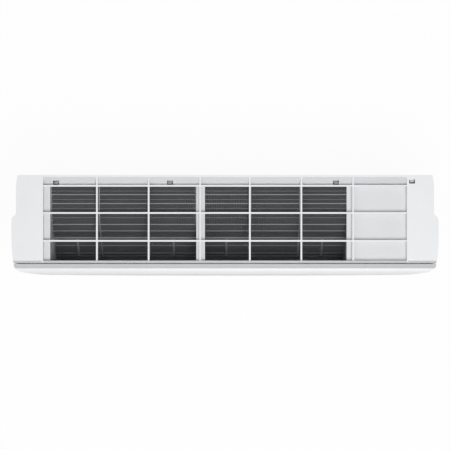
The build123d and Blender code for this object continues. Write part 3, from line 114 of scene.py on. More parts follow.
# %% Helpers for node trees
def add_node(tree, kind, inputs=None, **choices):
    """Adds a node. An input takes a plain value, an output to link, or a list of outputs."""
    node = tree.nodes.new(kind)
    for key, choice in choices.items():
        setattr(node, key, choice)
    for key, given in (inputs or {}).items():
        for one in given if isinstance(given, list) else [given]:
            if isinstance(one, bpy.types.NodeSocket):
                tree.links.new(one, node.inputs[key])
            else:
                node.inputs[key].default_value = one
    return node


def step(tree, kind, inputs=None, out=0, **choices):
    """Adds a node and gives one of its outputs, the next node's input."""
    return add_node(tree, kind, inputs, **choices).outputs[out]


# %% [markdown]
# ## Floor, world and lamps
#
# The picture's background is plain white. More light on the object would only
# bleach it, so the white comes from what the camera sees: the floor and the world
# answer *Is Camera Ray* with white, while the light that falls on the object stays
# at a plain level. The floor keeps part of its diffuse shading, so it still carries
# a faint shadow. It lies a little below the unit, because the louver swings down
# below the case when it opens. One wide soft lamp stands in front and a little to
# the right, because the picture's bars throw their shade backwards; a weaker one
# fills the other side.

# %% Floor and world
scene.view_settings.view_transform = "Standard"


def camera_white(tree, plain, share):
    """Mixes a plain shader with white for what the camera, gloss and glass see."""
    path = add_node(tree, "ShaderNodeLightPath").outputs
    seen = path["Is Camera Ray"]
    for also in ("Is Glossy Ray", "Is Transmission Ray"):
        seen = step(tree, "ShaderNodeMath", {0: seen, 1: path[also]}, operation="MAXIMUM")
    amount = step(tree, "ShaderNodeMath", {0: seen, 1: share}, operation="MULTIPLY")
    glow = "ShaderNodeBackground" if plain.node.bl_idname == "ShaderNodeBackground" else "ShaderNodeEmission"
    white = step(tree, glow, {"Color": (1, 1, 1, 1), "Strength": 1.0})
    return step(tree, "ShaderNodeMixShader", {0: amount, 1: plain, 2: white})


world = bpy.data.worlds.new("studio")
scene.world = world
world.use_nodes = True
world_tree = world.node_tree
world_tree.nodes.clear()
sky = step(world_tree, "ShaderNodeBackground", {"Color": (0.99, 0.995, 1.0, 1), "Strength": 0.30})
add_node(world_tree, "ShaderNodeOutputWorld", {"Surface": camera_white(world_tree, sky, 1.0)})

floor_reach = 9.0
louver_room = 60 * mm
floor_z = cad_box[0][2] - louver_room
floor_corners = [(x * floor_reach, y * floor_reach, floor_z) for x, y in ((-1, -1), (1, -1), (1, 1), (-1, 1))]
floor_mesh = bpy.data.meshes.new("floor")
floor_mesh.from_pydata(floor_corners, [], [(0, 1, 2, 3)])
floor = bpy.data.objects.new("floor", floor_mesh)
scene.collection.objects.link(floor)
floor_paint = bpy.data.materials.new("floor_white")
floor_paint.use_nodes = True
floor_tree = floor_paint.node_tree
floor_tree.nodes.clear()
floor_plain = step(floor_tree, "ShaderNodeBsdfDiffuse", {"Color": (0.84, 0.84, 0.84, 1)})
add_node(floor_tree, "ShaderNodeOutputMaterial", {"Surface": camera_white(floor_tree, floor_plain, 0.95)})
floor_mesh.materials.append(floor_paint)
print("floor at z =", round(floor_z / mm, 1), "mm")

# %% Two soft lamps
lamp_target = Vector((0, -0.1, 0))
for name, place, size, power in (("key_lamp", (0.4, -0.95, 3.4), 1.8, 85.0),
                                 ("fill_lamp", (-1.8, -0.1, 2.6), 2.0, 13.0)):
    light = bpy.data.lights.new(name, "AREA")
    light.shape = "SQUARE"
    light.size = size
    light.energy = power
    lamp = bpy.data.objects.new(name, light)
    lamp.location = place
    lamp.rotation_euler = (lamp_target - Vector(place)).to_track_quat("-Z", "Y").to_euler()
    scene.collection.objects.link(lamp)
    print(name, power, "W")

# %% [markdown]
# ## Finishes
#
# Nearly everything that shows is moulded plastic. A moulded surface is never one
# flat colour: it has a fine spark-eroded grain, a faint mottle where the melt cooled
# unevenly, and a roughness that varies with the grain. The helper below builds that
# from two noise textures on Object coordinates, which are metres here, so a grain
# of 0.4 mm is a scale of 2500. Worked metals, sheet zinc and the circuit board get
# trees of their own.

# %% Helpers for noise in real sizes
finishes = {}


def start_finish(name, colour, roughness, metallic=0.0):
    """New material: gives its tree, its Principled shader and the object coordinates."""
    material = bpy.data.materials.new(name)
    material.use_nodes = True
    tree = material.node_tree
    shader = tree.nodes["Principled BSDF"]
    shader.inputs["Base Color"].default_value = (*colour, 1)
    shader.inputs["Roughness"].default_value = roughness
    shader.inputs["Metallic"].default_value = metallic
    finishes[name] = material
    return tree, shader, step(tree, "ShaderNodeTexCoord", out="Object")


def noise(tree, place, size, detail=2.0, stretch=(1, 1, 1)):
    """Noise whose blobs are about one size across, in metres."""
    place = step(tree, "ShaderNodeMapping", {"Vector": place, "Scale": stretch}, "Vector")
    return step(tree, "ShaderNodeTexNoise", {"Vector": place, "Scale": 1.0 / size, "Detail": detail}, "Fac")


def between(tree, value, low, high, out_low, out_high):
    """Turns one range of a value into another."""
    return step(tree, "ShaderNodeMapRange", {
        "Value": value, "From Min": low, "From Max": high, "To Min": out_low, "To Max": out_high}, "Result")


def shade_colour(tree, shader, value, colour, spread):
    """Base colour that gets darker and lighter with a value round one half."""
    dark, light = ([c * (1 + change) for c in colour] for change in (-spread, spread))
    mix = step(tree, "ShaderNodeMix", {"A": (*dark, 1), "B": (*light, 1), "Factor": value}, "Result",
               data_type="RGBA")
    tree.links.new(mix, shader.inputs["Base Color"])


def relief(tree, shader, value, height):
    """Bump from a value, its height in metres."""
    bump = step(tree, "ShaderNodeBump", {"Distance": height, "Strength": 1.0, "Height": value}, "Normal")
    tree.links.new(bump, shader.inputs["Normal"])


# %% Moulded plastics
def moulded(name, colour, roughness, grain=0.45 * mm, depth=0.006 * mm, mottle=0.012, gloss=0.5):
    """Injection-moulded plastic with a fine grain and a faint mottle."""
    tree, shader, place = start_finish(name, colour, roughness)
    shader.inputs["Specular IOR Level"].default_value = gloss
    cloud = noise(tree, place, 60 * mm, 3.0)
    grit = noise(tree, place, grain, 2.0)
    shade_colour(tree, shader, between(tree, cloud, 0.3, 0.7, 0.0, 1.0), colour, mottle)
    rough = between(tree, grit, 0.3, 0.7, roughness - 0.05, roughness + 0.05)
    tree.links.new(rough, shader.inputs["Roughness"])
    relief(tree, shader, grit, depth)


unit_white = (0.735, 0.741, 0.752)
moulded("case_white", unit_white, 0.46, gloss=0.4)
moulded("panel_white", (0.765, 0.771, 0.782), 0.40, grain=0.9 * mm, depth=0.002 * mm, gloss=0.4)
moulded("lattice_white", unit_white, 0.46, gloss=0.4)
# The rails' own finish; it is also painted shade on the case's sunken floor and ramp and on the panel's rounded
# rear edge.
moulded("rail_white", (0.64, 0.648, 0.66), 0.52, gloss=0.35)
# The next grey is painted shade for the case's rounded front edge, where it dips into the valley by the panel.
moulded("painted_shade_grey", (0.53, 0.54, 0.55), 0.50, gloss=0.35)
moulded("chassis_grey", (0.42, 0.425, 0.435), 0.55)
moulded("pan_grey", (0.50, 0.51, 0.52), 0.62)
moulded("louver_white", unit_white, 0.42, gloss=0.4)
moulded("vane_grey", (0.52, 0.53, 0.54), 0.52)
moulded("filter_grey", (0.19, 0.195, 0.205), 0.50, grain=0.3 * mm, mottle=0.05)
moulded("filter_net", (0.085, 0.087, 0.092), 0.62, grain=0.2 * mm, mottle=0.08)
moulded("fan_black", (0.035, 0.036, 0.038), 0.48, mottle=0.08)
moulded("motor_black", (0.045, 0.046, 0.048), 0.58, grain=0.8 * mm, depth=0.02 * mm, mottle=0.10)
moulded("bearing_rubber", (0.030, 0.030, 0.030), 0.75, grain=0.6 * mm, depth=0.02 * mm, mottle=0.15)
moulded("terminal_black", (0.030, 0.030, 0.031), 0.42, mottle=0.08)
moulded("button_white", (0.76, 0.77, 0.77), 0.30)
print("moulded plastics:", len(finishes))


# %% Metals
def metal(name, colour, roughness, streak, along, depth=0.004 * mm, spread=0.08):
    """Worked metal whose marks run along one direction."""
    tree, shader, place = start_finish(name, colour, roughness, 1.0)
    marks = noise(tree, place, streak, 3.0, along)
    stain = noise(tree, place, 14 * mm, 3.0)
    shade_colour(tree, shader, between(tree, stain, 0.25, 0.75, 0.0, 1.0), colour, spread)
    rough = between(tree, marks, 0.3, 0.7, roughness - 0.07, roughness + 0.09)
    tree.links.new(rough, shader.inputs["Roughness"])
    relief(tree, shader, marks, depth)


metal("fin_aluminium", (0.70, 0.72, 0.74), 0.34, 0.5 * mm, (1, 0.1, 0.1))
metal("tube_copper", (0.66, 0.33, 0.20), 0.34, 0.6 * mm, (0.15, 1, 1), spread=0.22)
metal("union_brass", (0.66, 0.50, 0.24), 0.30, 0.3 * mm, (1, 0.1, 0.1), spread=0.12)
metal("shaft_steel", (0.56, 0.57, 0.58), 0.26, 0.25 * mm, (1, 0.05, 0.05))
metal("stepper_steel", (0.50, 0.51, 0.52), 0.36, 0.4 * mm, (0.2, 1, 1))
metal("screw_zinc", (0.60, 0.60, 0.57), 0.34, 0.3 * mm, (1, 1, 1))

# Hot-dipped zinc has spangles, the cells of its crystals, each with its own tone.
spangle_size = 5 * mm
zinc_colour = (0.52, 0.54, 0.56)
tree, shader, place = start_finish("sheet_zinc", zinc_colour, 0.42, 1.0)
spangle = step(tree, "ShaderNodeTexVoronoi", {"Vector": place, "Scale": 1 / spangle_size}, "Color")
spangle = step(tree, "ShaderNodeRGBToBW", {"Color": spangle}, "Val")
shade_colour(tree, shader, spangle, zinc_colour, 0.12)
tree.links.new(between(tree, spangle, 0.0, 1.0, 0.32, 0.50), shader.inputs["Roughness"])
relief(tree, shader, noise(tree, place, 0.8 * mm), 0.003 * mm)
print("finishes so far:", len(finishes))

# %% [markdown]
# A lacquered circuit board is dark green between its copper tracks and a little
# lighter on them. A brick texture with long thin bricks gives straight tracks and
# gaps, turned into the board's plane by a Mapping node. The smoked receiver window
# is nearly black with a clear coat.

# %% Circuit board and smoked window
tree, shader, place = start_finish("board_green", (0.05, 0.20, 0.10), 0.30)
place = step(tree, "ShaderNodeMapping", {"Vector": place, "Rotation": (math.radians(90), 0, 0)}, "Vector")
tracks = add_node(tree, "ShaderNodeTexBrick", {
    "Vector": place, "Scale": 1.0, "Mortar Size": 0.35 * mm, "Brick Width": 14 * mm, "Row Height": 1.9 * mm,
    "Color1": (0.05, 0.21, 0.10, 1), "Color2": (0.07, 0.27, 0.13, 1), "Mortar": (0.03, 0.13, 0.07, 1)})
tree.links.new(tracks.outputs["Color"], shader.inputs["Base Color"])
relief(tree, shader, tracks.outputs["Fac"], -0.03 * mm)

tree, shader, place = start_finish("lens_smoke", (0.012, 0.012, 0.014), 0.10)
shader.inputs["Coat Weight"].default_value = 0.6
shader.inputs["Coat Roughness"].default_value = 0.04
haze = noise(tree, place, 25 * mm, 2.0)
tree.links.new(between(tree, haze, 0.3, 0.7, 0.06, 0.14), shader.inputs["Roughness"])
print("finishes:", sorted(finishes))

# %% [markdown]
# Every measured solid takes the finish that its material slot names. A solid that
# is replaced further down keeps its finish too, because the mesh that stands for it
# is often made from a copy.

# %% Put the finishes on the solids
slot_of = {part["node"]: part["material_slot"] for part in frame["record"]["subparts"]}
for name, piece in nodes.items():
    piece.data.materials.clear()
    piece.data.materials.append(finishes[slot_of[name]])
print("solids with a finish:", len(slot_of))

# %% [markdown]
# ## Soft edges for the mouldings
#
# A moulded edge is never knife sharp: it has a radius of a few tenths of a
# millimetre, and that radius is what catches the light along every bar and rim in
# the picture. The measured solids have sharp edges. Their meshes are loose
# triangles, so a bevel would not find their edges. A copy is therefore merged, its
# flat triangles are joined back into faces, and a Bevel modifier rounds each edge
# that is sharper than 30 degrees. Weighted normals keep the large faces even, so
# only the narrow rounded edges shade. The copy then stands for the solid.

# %% Helpers for replacing a solid
body_of = {member: body for body, members in frame["record"]["behaviour"]["bodies"].items()
           for member in members}


def keep(piece, node):
    """Hands a finished mesh over: it replaces a solid and rides on its body."""
    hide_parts(node)
    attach(piece, body_of[node])
    return piece


def plain_mesh(piece):
    """Applies a piece's modifiers, which leaves a plain mesh."""
    layer = bpy.context.evaluated_depsgraph_get()
    layer.update()
    result = bpy.data.meshes.new_from_object(piece.evaluated_get(layer), depsgraph=layer)
    result.name = piece.name
    piece.modifiers.clear()
    piece.data = result
    return piece


def linked(name, mesh):
    """New object in the scene."""
    piece = bpy.data.objects.new(name, mesh)
    scene.collection.objects.link(piece)
    return piece


def modify(piece, kind, **choices):
    """Puts one modifier on a piece and applies it."""
    modifier = piece.modifiers.new(kind.lower(), kind)
    for key, choice in choices.items():
        setattr(modifier, key, choice)
    return plain_mesh(piece)


def smoothed(mesh, angle):
    """Smooth shading, with sharp edges from an angle in degrees upwards."""
    mesh.shade_smooth()
    mesh.set_sharp_from_angle(angle=math.radians(angle))


# %% Helper for rounded edges
merge_distance = 0.002 * mm     # corners of neighbouring triangles, closer than any detail
flat_angle, sharp_angle = math.radians(0.4), math.radians(30)


def softened(node, width, shaded=None, nudge=None):
    """Copy of a solid's mesh with merged corners and rounded edges.

    shaded gives the number of a face's finish, and the greyer finishes it picks are painted shade; nudge may
    move the corners first.
    """
    build = bmesh.new()
    build.from_mesh(nodes[node].data)
    bmesh.ops.remove_doubles(build, verts=build.verts, dist=merge_distance)
    bmesh.ops.dissolve_degenerate(build, edges=build.edges, dist=merge_distance)
    bmesh.ops.dissolve_limit(build, angle_limit=flat_angle, verts=build.verts, edges=build.edges)
    bmesh.ops.triangulate(build, faces=[face for face in build.faces if len(face.verts) > 4])
    if nudge:
        for corner in build.verts:
            nudge(corner.co)
    if shaded:
        for face in build.faces:
            face.material_index = shaded(face)
    mesh = bpy.data.meshes.new(node + "_soft")
    build.to_mesh(mesh)
    build.free()
    # The two greyer finishes are painted shade for the faces that shaded picks.
    for finish in [slot_of[node]] + (["rail_white", "painted_shade_grey"] if shaded else []):
        mesh.materials.append(finishes[finish])
    piece = linked(node + "_soft", mesh)
    modify(piece, "BEVEL", width=width, segments=2, limit_method="ANGLE", angle_limit=sharp_angle,
           use_clamp_overlap=True, miter_outer="MITER_ARC", harden_normals=False)
    smoothed(piece.data, 35)
    modify(piece, "WEIGHTED_NORMAL", mode="FACE_AREA", keep_sharp=True)
    return keep(piece, node)


# %% [markdown]
# Three pieces need a rule of their own. The sunken floor and ramp of the intake
# recess take the filter rails' greyer finish, a shade greyer than the top, as
# painted shade from the lattice above them. The rounded edge where the top falls
# towards the panel takes a darker grey, and the panel's rounded rear edge takes the
# rails' finish: both are painted shade in the valley between them. The rear lip of
# the front panel comes closer to the case than its solid does, because the picture
# shows a soft grey valley there and not a black slit. The lattice's bars are a
# little slimmer than their solid.

# %% Rules for the case and the panel
# Where the painted shade goes on the case and the panel, and how the panel's lip and the lattice's bars move.
recess_floor_z = top_z - 11.8 * mm
recess_half = 0.365
recess_y = (-0.172, -0.004)
front_edge = (-0.171, top_z - 8.5 * mm)     # the rounded edge lies in front of and above these
lip_bottom_z = top_z - 9 * mm
lip_back_y = -0.187
lip_moves = {-180.0: (1.8, -1.0), -178.5: (0.3, 0.0)}   # rear edges of the panel's lip, and how each moves
lattice_lines = ((-255.0, -152.0, -49.5, 49.5, 152.0, 255.0), (-22.4, -76.5, -132.0))
bar_half = 2.1
slim_half = 1.7


def case_shade(face):
    """Finish number of a face, 1 and 2 being painted shade: 1 for the sunken floor and its ramp, 2 for the
    rounded front edge, 0 elsewhere.
    """
    place = face.calc_center_median()
    if face.normal.y < -0.3 and place.z > front_edge[1] and place.y < front_edge[0]:
        return 2
    sunken = recess_floor_z - 0.5 * mm < place.z < top_z - 0.5 * mm
    inside = abs(place.x) < recess_half and recess_y[0] < place.y < recess_y[1]
    return 1 if sunken and inside and face.normal.z > 0.3 else 0


def panel_shade(face):
    """Finish number of a face: 1, painted shade, for the rounded edge that falls towards the case, 0 elsewhere.
    """
    place = face.calc_center_median()
    return 1 if face.normal.y > 0.2 and place.z > lip_bottom_z and place.y > lip_back_y else 0


def closer_lip(place):
    """Moves the panel's rear top lip towards the case, but not into its swing."""
    for edge_y, (across, up) in lip_moves.items():
        if abs(place.y / mm - edge_y) < 0.1 and place.z > lip_bottom_z:
            place.y += across * mm
            place.z += up * mm
            return


def slimmer_bars(place):
    """Brings the sides of the lattice bars closer together, as slim as the picture shows them."""
    for axis, middles in enumerate(lattice_lines):
        for middle in middles:
            off = place[axis] / mm - middle
            if abs(abs(off) - bar_half) < 0.15:
                place[axis] = (middle + math.copysign(slim_half, off)) * mm


# %% Round the edges of mouldings and small parts
# Pieces whose greyer faces are painted shade, and pieces whose corners move.
shades = {"front_case": case_shade, "front_panel": panel_shade}
nudges = {"front_panel": closer_lip, "top_grille": slimmer_bars}
edge_radii = {
    0.6: ["front_panel"],
    0.5: ["front_case", "top_grille", "louver"],
    0.4: ["pipe_clamp"],
    0.35: ["filter_rail_left", "filter_rail_middle", "filter_rail_right",
           *(f"vane_{side}_{number}" for side in ("left", "right") for number in range(1, 6))],
    0.3: ["rear_chassis", "air_duct", "drain_pan", "electrical_box", "receiver_window", "manual_button",
          "motor_strap", "louver_motor", "swing_motor_left", "swing_motor_right", "cable_clamp"],
    0.25: ["bearing_housing", "fan_bearing", "link_bar_left", "link_bar_right", "electrical_cover"],
    0.12: ["coil_end_plate_left", "coil_end_plate_right"],
}
for width, members in edge_radii.items():
    for node in members:
        softened(node, width * mm, shades.get(node), nudges.get(node))
    print("edges of", width, "mm on", len(members), "pieces")

# %% [markdown]
# ## Geometry Nodes helpers
#
# Threads, ribs, fins, blades and bends all repeat by a rule, so they are grown by
# node trees that are built here in code. A tree gets named inputs for its sizes,
# ends in *Realize Instances* and *Set Material*, and is run once: the evaluated
# result becomes a plain mesh and the modifier goes. Inputs are set through the
# socket's identifier before the object is first evaluated, since a socket's name
# alone doesn't address it.

# %% Build and run a node tree
def new_tree(name, inputs):
    """Node group with a geometry input, named inputs and a geometry output; gives its inputs too."""
    tree = bpy.data.node_groups.new(name, "GeometryNodeTree")
    tree.interface.new_socket("Geometry", in_out="OUTPUT", socket_type="NodeSocketGeometry")
    for label, kind in {"Geometry": "Geometry", **inputs}.items():
        tree.interface.new_socket(label, in_out="INPUT", socket_type="NodeSocket" + kind)
    return tree, tree.nodes.new("NodeGroupInput").outputs


def end_tree(tree, geometry, finish):
    """Realizes the instances, sets their material and closes the tree."""
    real = step(tree, "GeometryNodeRealizeInstances", {"Geometry": geometry})
    paint = step(tree, "GeometryNodeSetMaterial", {"Geometry": real, "Material": finishes[finish]})
    add_node(tree, "NodeGroupOutput", {0: paint})


def grow(name, tree, values, start):
    """Runs a tree on a start mesh and gives back an object with a plain mesh."""
    piece = linked(name, start)
    modifier = piece.modifiers.new("grow", "NODES")
    modifier.node_group = tree
    for item in tree.interface.items_tree:
        if item.name in values:
            modifier[item.identifier] = values[item.name]
    return plain_mesh(piece)


def start_mesh(name, chains, **marks):
    """Start for a tree: chains of points in mm, and a number at each point for every mark."""
    points, edges = [], []
    for chain in chains:
        edges += [(len(points) + i, len(points) + i + 1) for i in range(len(chain) - 1)]
        points += [tuple(Vector(point) * mm) for point in chain]
    mesh = bpy.data.meshes.new(name)
    mesh.from_pydata(points, edges, [])
    for label, numbers in marks.items():
        mesh.attributes.new(label, "FLOAT", "POINT").data.foreach_set("value", numbers)
    return mesh


# %% Steps that several trees share
def calculate(tree, operation, first, second):
    """Result of one step of arithmetic."""
    return step(tree, "ShaderNodeMath", {0: first, 1: second}, operation=operation)


def along_x(tree, length):
    """Vector of a length along X."""
    return step(tree, "ShaderNodeCombineXYZ", {"X": length})


def mark(tree, label):
    """The number that each point carries under a name."""
    return step(tree, "GeometryNodeInputNamedAttribute", {"Name": label}, "Attribute", data_type="FLOAT")


def repeat(tree, points, instance, **more):
    """Instances of one shape on points."""
    return step(tree, "GeometryNodeInstanceOnPoints", {"Points": points, "Instance": instance, **more})


def line_of_points(tree, count, start, offset):
    """Points in a row, from two vectors."""
    return step(tree, "GeometryNodeMeshLine", {"Count": count, "Start Location": start, "Offset": offset})


def round_bar(tree, curve, radius, sides, caps=False):
    """Round section swept along a curve."""
    ring = step(tree, "GeometryNodeCurvePrimitiveCircle", {"Radius": radius, "Resolution": sides})
    return step(tree, "GeometryNodeCurveToMesh", {"Curve": curve, "Profile Curve": ring, "Fill Caps": caps})


def straight_bar(tree, start, length, radius, sides, caps=False):
    """Round bar along X, from its start and its length."""
    line = line_of_points(tree, 2, along_x(tree, start), along_x(tree, length))
    return round_bar(tree, step(tree, "GeometryNodeMeshToCurve", {"Mesh": line}), radius, sides, caps)


# %% [markdown]
# ## The filters' curve
#
# Each air filter is a thin frame with a net that slides in rails: it lies flat
# under the back of the lattice, bends over and runs steeply down behind the front
# panel. Its side view is a chain of three straight runs with two rounded corners.
# Ribs, threads and borders all follow that one curve, so it is computed once.

# %% Rounded chain in the side plane
def direction(path, index):
    """Unit direction of a path round one of its points."""
    before, after = path[max(index - 1, 0)], path[min(index + 1, len(path) - 1)]
    length = math.dist(before, after)
    return (after[0] - before[0]) / length, (after[1] - before[1]) / length


def rounded_chain(corners, radii, inwards, arc_steps=10):
    """Points along a chain with rounded corners, moved to its left; as (y, z) in mm."""
    runs = [direction(pair, 0) for pair in zip(corners, corners[1:])]
    path = [corners[0]]
    for corner, radius, run_in, run_out in zip(corners[1:], radii, runs, runs[1:]):
        turn = math.acos(run_in[0] * run_out[0] + run_in[1] * run_out[1])
        reach_back = radius * math.tan(turn / 2)
        start = (corner[0] - run_in[0] * reach_back, corner[1] - run_in[1] * reach_back)
        centre = (start[0] - run_in[1] * radius, start[1] + run_in[0] * radius)
        first = math.atan2(start[1] - centre[1], start[0] - centre[0])
        for index in range(arc_steps + 1):
            angle = first + turn * index / arc_steps
            path.append((centre[0] + radius * math.cos(angle), centre[1] + radius * math.sin(angle)))
    path.append(corners[-1])
    ways = [direction(path, index) for index in range(len(path))]
    return [(y - along_z * inwards, z + along_y * inwards) for (y, z), (along_y, along_z) in zip(path, ways)]


def place_at(path, value, axis=0):
    """Point of a path where it passes a given y, or a given z with axis 1."""
    for a, b in zip(path, path[1:]):
        if b[axis] <= value <= a[axis] and a[axis] > b[axis]:
            share = (a[axis] - value) / (a[axis] - b[axis])
            return a[0] + (b[0] - a[0]) * share, a[1] + (b[1] - a[1]) * share
    return path[-1]


filter_corners = [(-22.0, 131.0), (-91.5, 131.0), (-167.9, 40.1), (-173.6, -25.0)]
filter_bends = (55.0, 40.0)
frame_middle, net_middle = 1.0, 2.25     # how far inside that chain the frame and the net lie
frame_path = rounded_chain(filter_corners, filter_bends, frame_middle)
net_path = rounded_chain(filter_corners, filter_bends, net_middle)
print("filter length:", round(sum(math.dist(a, b) for a, b in zip(frame_path, frame_path[1:])), 1), "mm")


# %% Swept bars and finished meshes
def sweep_bar(build, path, x, width, height=2.0, corner=0.5):
    """Bar with rounded long edges along a path of the side plane, centred on x."""
    half_w, half_h = width / 2, height / 2
    ring = []
    for sx, sy, start in ((1, 1, 0), (-1, 1, 90), (-1, -1, 180), (1, -1, 270)):
        for angle in (0, 45, 90):
            turn = math.radians(start + angle)
            ring.append((sx * (half_w - corner) + corner * math.cos(turn),
                         sy * (half_h - corner) + corner * math.sin(turn)))
    loops = []
    for index, (y, z) in enumerate(path):
        along_y, along_z = direction(path, index)
        loops.append([build.verts.new(Vector((x + u, y - along_z * v, z + along_y * v)) * mm)
                      for u, v in ring])
    for one, two in zip(loops, loops[1:]):
        for i in range(len(ring)):
            j = (i + 1) % len(ring)
            build.faces.new((one[i], one[j], two[j], two[i]))
    build.faces.new(loops[0][::-1])
    build.faces.new(loops[-1])


def plain_box(build, low, high):
    """Box between two corners in mm; gives its vertices."""
    box = bmesh.ops.create_cube(build, size=1.0)["verts"]
    for vert in box:
        vert.co = Vector([(low[i] + high[i]) / 2 + vert.co[i] * (high[i] - low[i]) for i in range(3)]) * mm
    return box


def mesh_piece(name, build, used, smooth_angle=35.0):
    """Turns bmesh work into an object with outward faces and its finishes."""
    bmesh.ops.recalc_face_normals(build, faces=build.faces)
    mesh = bpy.data.meshes.new(name)
    build.to_mesh(mesh)
    build.free()
    for finish in used:
        mesh.materials.append(finishes[finish])
    smoothed(mesh, smooth_angle)
    return linked(name, mesh)


def finished(name, build, node, extra=(), smooth_angle=35.0):
    """Lets bmesh work replace a solid, whose finish comes before any further ones."""
    piece = keep(mesh_piece(name, build, (slot_of[node], *extra), smooth_angle), node)
    print(name, "faces:", len(piece.data.polygons))


# %% [markdown]
# ## Filter frames
#
# In the picture the frames show as lighter cross lines over the dark net: thin
# ones, stronger ones, and one thick bar where the frame can flex. Two long ribs
# run from back to front, and short struts stand beside them near the front. The
# cross ribs are instances of one round bar on points that carry their own
# thickness as an attribute; the borders follow the curve, so they are swept.

# %% Cross ribs by Geometry Nodes, borders by sweeping
rib_tree, size = new_tree("cross_ribs", {"Rib length": "Float", "Rib radius": "Float"})
rib_start = calculate(rib_tree, "MULTIPLY", size["Rib length"], -0.5)
rib_bar = straight_bar(rib_tree, rib_start, size["Rib length"], size["Rib radius"], 10, True)
bulk = mark(rib_tree, "bulk")
bulk = step(rib_tree, "ShaderNodeCombineXYZ", {"X": 1.0, "Y": bulk, "Z": bulk})
end_tree(rib_tree, repeat(rib_tree, size["Geometry"], rib_bar, Scale=bulk), "filter_grey")

# how thick each rib is against the plain one, by its y; two more lie on the steep run, by their z
rib_places = {
    -32.5: 0.5, -39.5: 1.45, -49.4: 0.5, -57.4: 1.5, -67.5: 0.5, -75.5: 0.9, -85.8: 0.5, -99.2: 1.35,
    -112.3: 1.1, -126.3: 2.0, -142.4: 0.7, -158.0: 0.95, -164.4: 0.95,
}
lower_ribs = (20.0, -2.0)
rib_radius = 0.95
filter_middles = {"left": -202.5, "right": 100.5}
filter_half = 146.5
border = 2.0
inner_width = 2 * (filter_half - border)
long_rib_x, long_rib_width = 49.0, 2.6
strut_x, strut_width = 97.6, 4.4
strut_path = [place_at(frame_path, y) for y in (-126.3, -136.0, -145.0, -154.0, -164.0)]
rib_points = [place_at(frame_path, y) for y in rib_places] + [place_at(frame_path, z, 1) for z in lower_ribs]
rib_bulks = [*rib_places.values()] + [1.0] * len(lower_ribs)
(back_y, back_z), (foot_y, foot_z) = frame_path[0], frame_path[-1]
for side, middle in filter_middles.items():
    dots = start_mesh("rib_points_" + side, [[(middle, *point)] for point in rib_points], bulk=rib_bulks)
    ribs = grow("filter_ribs_" + side, rib_tree,
                {"Rib length": inner_width * mm, "Rib radius": rib_radius * mm}, dots)
    build = bmesh.new()
    build.from_mesh(ribs.data)
    bpy.data.objects.remove(ribs)
    for sign in (-1, 1):
        sweep_bar(build, frame_path, middle + sign * (filter_half - border / 2), border)
        sweep_bar(build, frame_path, middle + sign * long_rib_x, long_rib_width)
        sweep_bar(build, strut_path, middle + sign * strut_x, strut_width)
    low_x, high_x = middle - inner_width / 2, middle + inner_width / 2
    plain_box(build, (low_x, back_y - border, back_z - 1.0), (high_x, back_y, back_z + 1.0))
    plain_box(build, (low_x, foot_y - 1.0, foot_z), (high_x, foot_y + 1.0, foot_z + border))
    finished("filter_ribs_and_border_" + side, build, "filter_frame_" + side)

# %% [markdown]
# ## The net
#
# The net is woven from plastic threads, 1.2 mm from one to the next. Modelling
# the threads lets the fins below glimmer through, as they do in the picture, and a
# picture of a net on a flat sheet could not. One family of threads runs along the
# curve and is repeated across; the other is a straight thread repeated along it.

# %% Threads by Geometry Nodes
net_tree, size = new_tree("woven_net", {
    "Pitch": "Float", "Thread radius": "Float", "Width": "Float", "Start": "Float", "Count": "Int"})
net_curve = step(net_tree, "GeometryNodeMeshToCurve", {"Mesh": size["Geometry"]})
long_thread = round_bar(net_tree, net_curve, size["Thread radius"], 4)
columns = line_of_points(net_tree, size["Count"], along_x(net_tree, size["Start"]),
                         along_x(net_tree, size["Pitch"]))
rows = step(net_tree, "GeometryNodeResampleCurve", {"Curve": net_curve, "Length": size["Pitch"]}, mode="LENGTH")
cross_thread = straight_bar(net_tree, size["Start"], size["Width"], size["Thread radius"], 4)
both_families = step(net_tree, "GeometryNodeJoinGeometry", {
    0: [repeat(net_tree, columns, long_thread), repeat(net_tree, rows, cross_thread)]})
end_tree(net_tree, both_families, "filter_net")

thread_pitch = 1.2
thread_radius = 0.27
for side, middle in filter_middles.items():
    line = start_mesh("net_line_" + side, [[(0.0, *point) for point in net_path]])
    net = grow("filter_threads_" + side, net_tree, {
        "Pitch": thread_pitch * mm, "Thread radius": thread_radius * mm, "Width": inner_width * mm,
        "Start": (middle - inner_width / 2) * mm, "Count": int(inner_width / thread_pitch) + 1}, line)
    keep(net, "filter_mesh_" + side)
    print(net.name, "faces:", len(net.data.polygons))

# %% [markdown]
# ## Fins of the evaporator
#
# Under the filters lie three slabs of thin aluminium fins on copper tubes. The
# measured solids are grooved blocks of the same outer size. Here every fin is a
# real sheet: one thin box, tilted into its slab's plane and repeated 1.6 mm apart.
# The slab's tilt and length follow from the box round its solid: a sheet of length
# L and thickness t that leans by an angle fills L sin + t cos by L cos + t sin.

# %% Fins by Geometry Nodes
fin_tree, size = new_tree("fins", {
    "First fin": "Vector", "Pitch": "Float", "Count": "Int", "Fin size": "Vector", "Tilt": "Float"})
fin_sheet = step(fin_tree, "GeometryNodeMeshCube", {"Size": size["Fin size"]})
fin_row = line_of_points(fin_tree, size["Count"], size["First fin"], along_x(fin_tree, size["Pitch"]))
fin_turn = along_x(fin_tree, size["Tilt"])
end_tree(fin_tree, repeat(fin_tree, fin_row, fin_sheet, Rotation=fin_turn), "fin_aluminium")

fin_pitch = 1.6
fin_left = -345.3
fin_count = 368
fin_metal = 0.16
tilts_tried = [math.radians(a / 20) for a in range(20, 1780)]


def tilt_of(depth, height, thickness):
    """Angle at which a leaning slab fills a depth and a height."""
    def misfit(a):
        return abs((depth - thickness * math.cos(a)) * math.cos(a)
                   - (height - thickness * math.sin(a)) * math.sin(a))
    return min(tilts_tried, key=misfit)


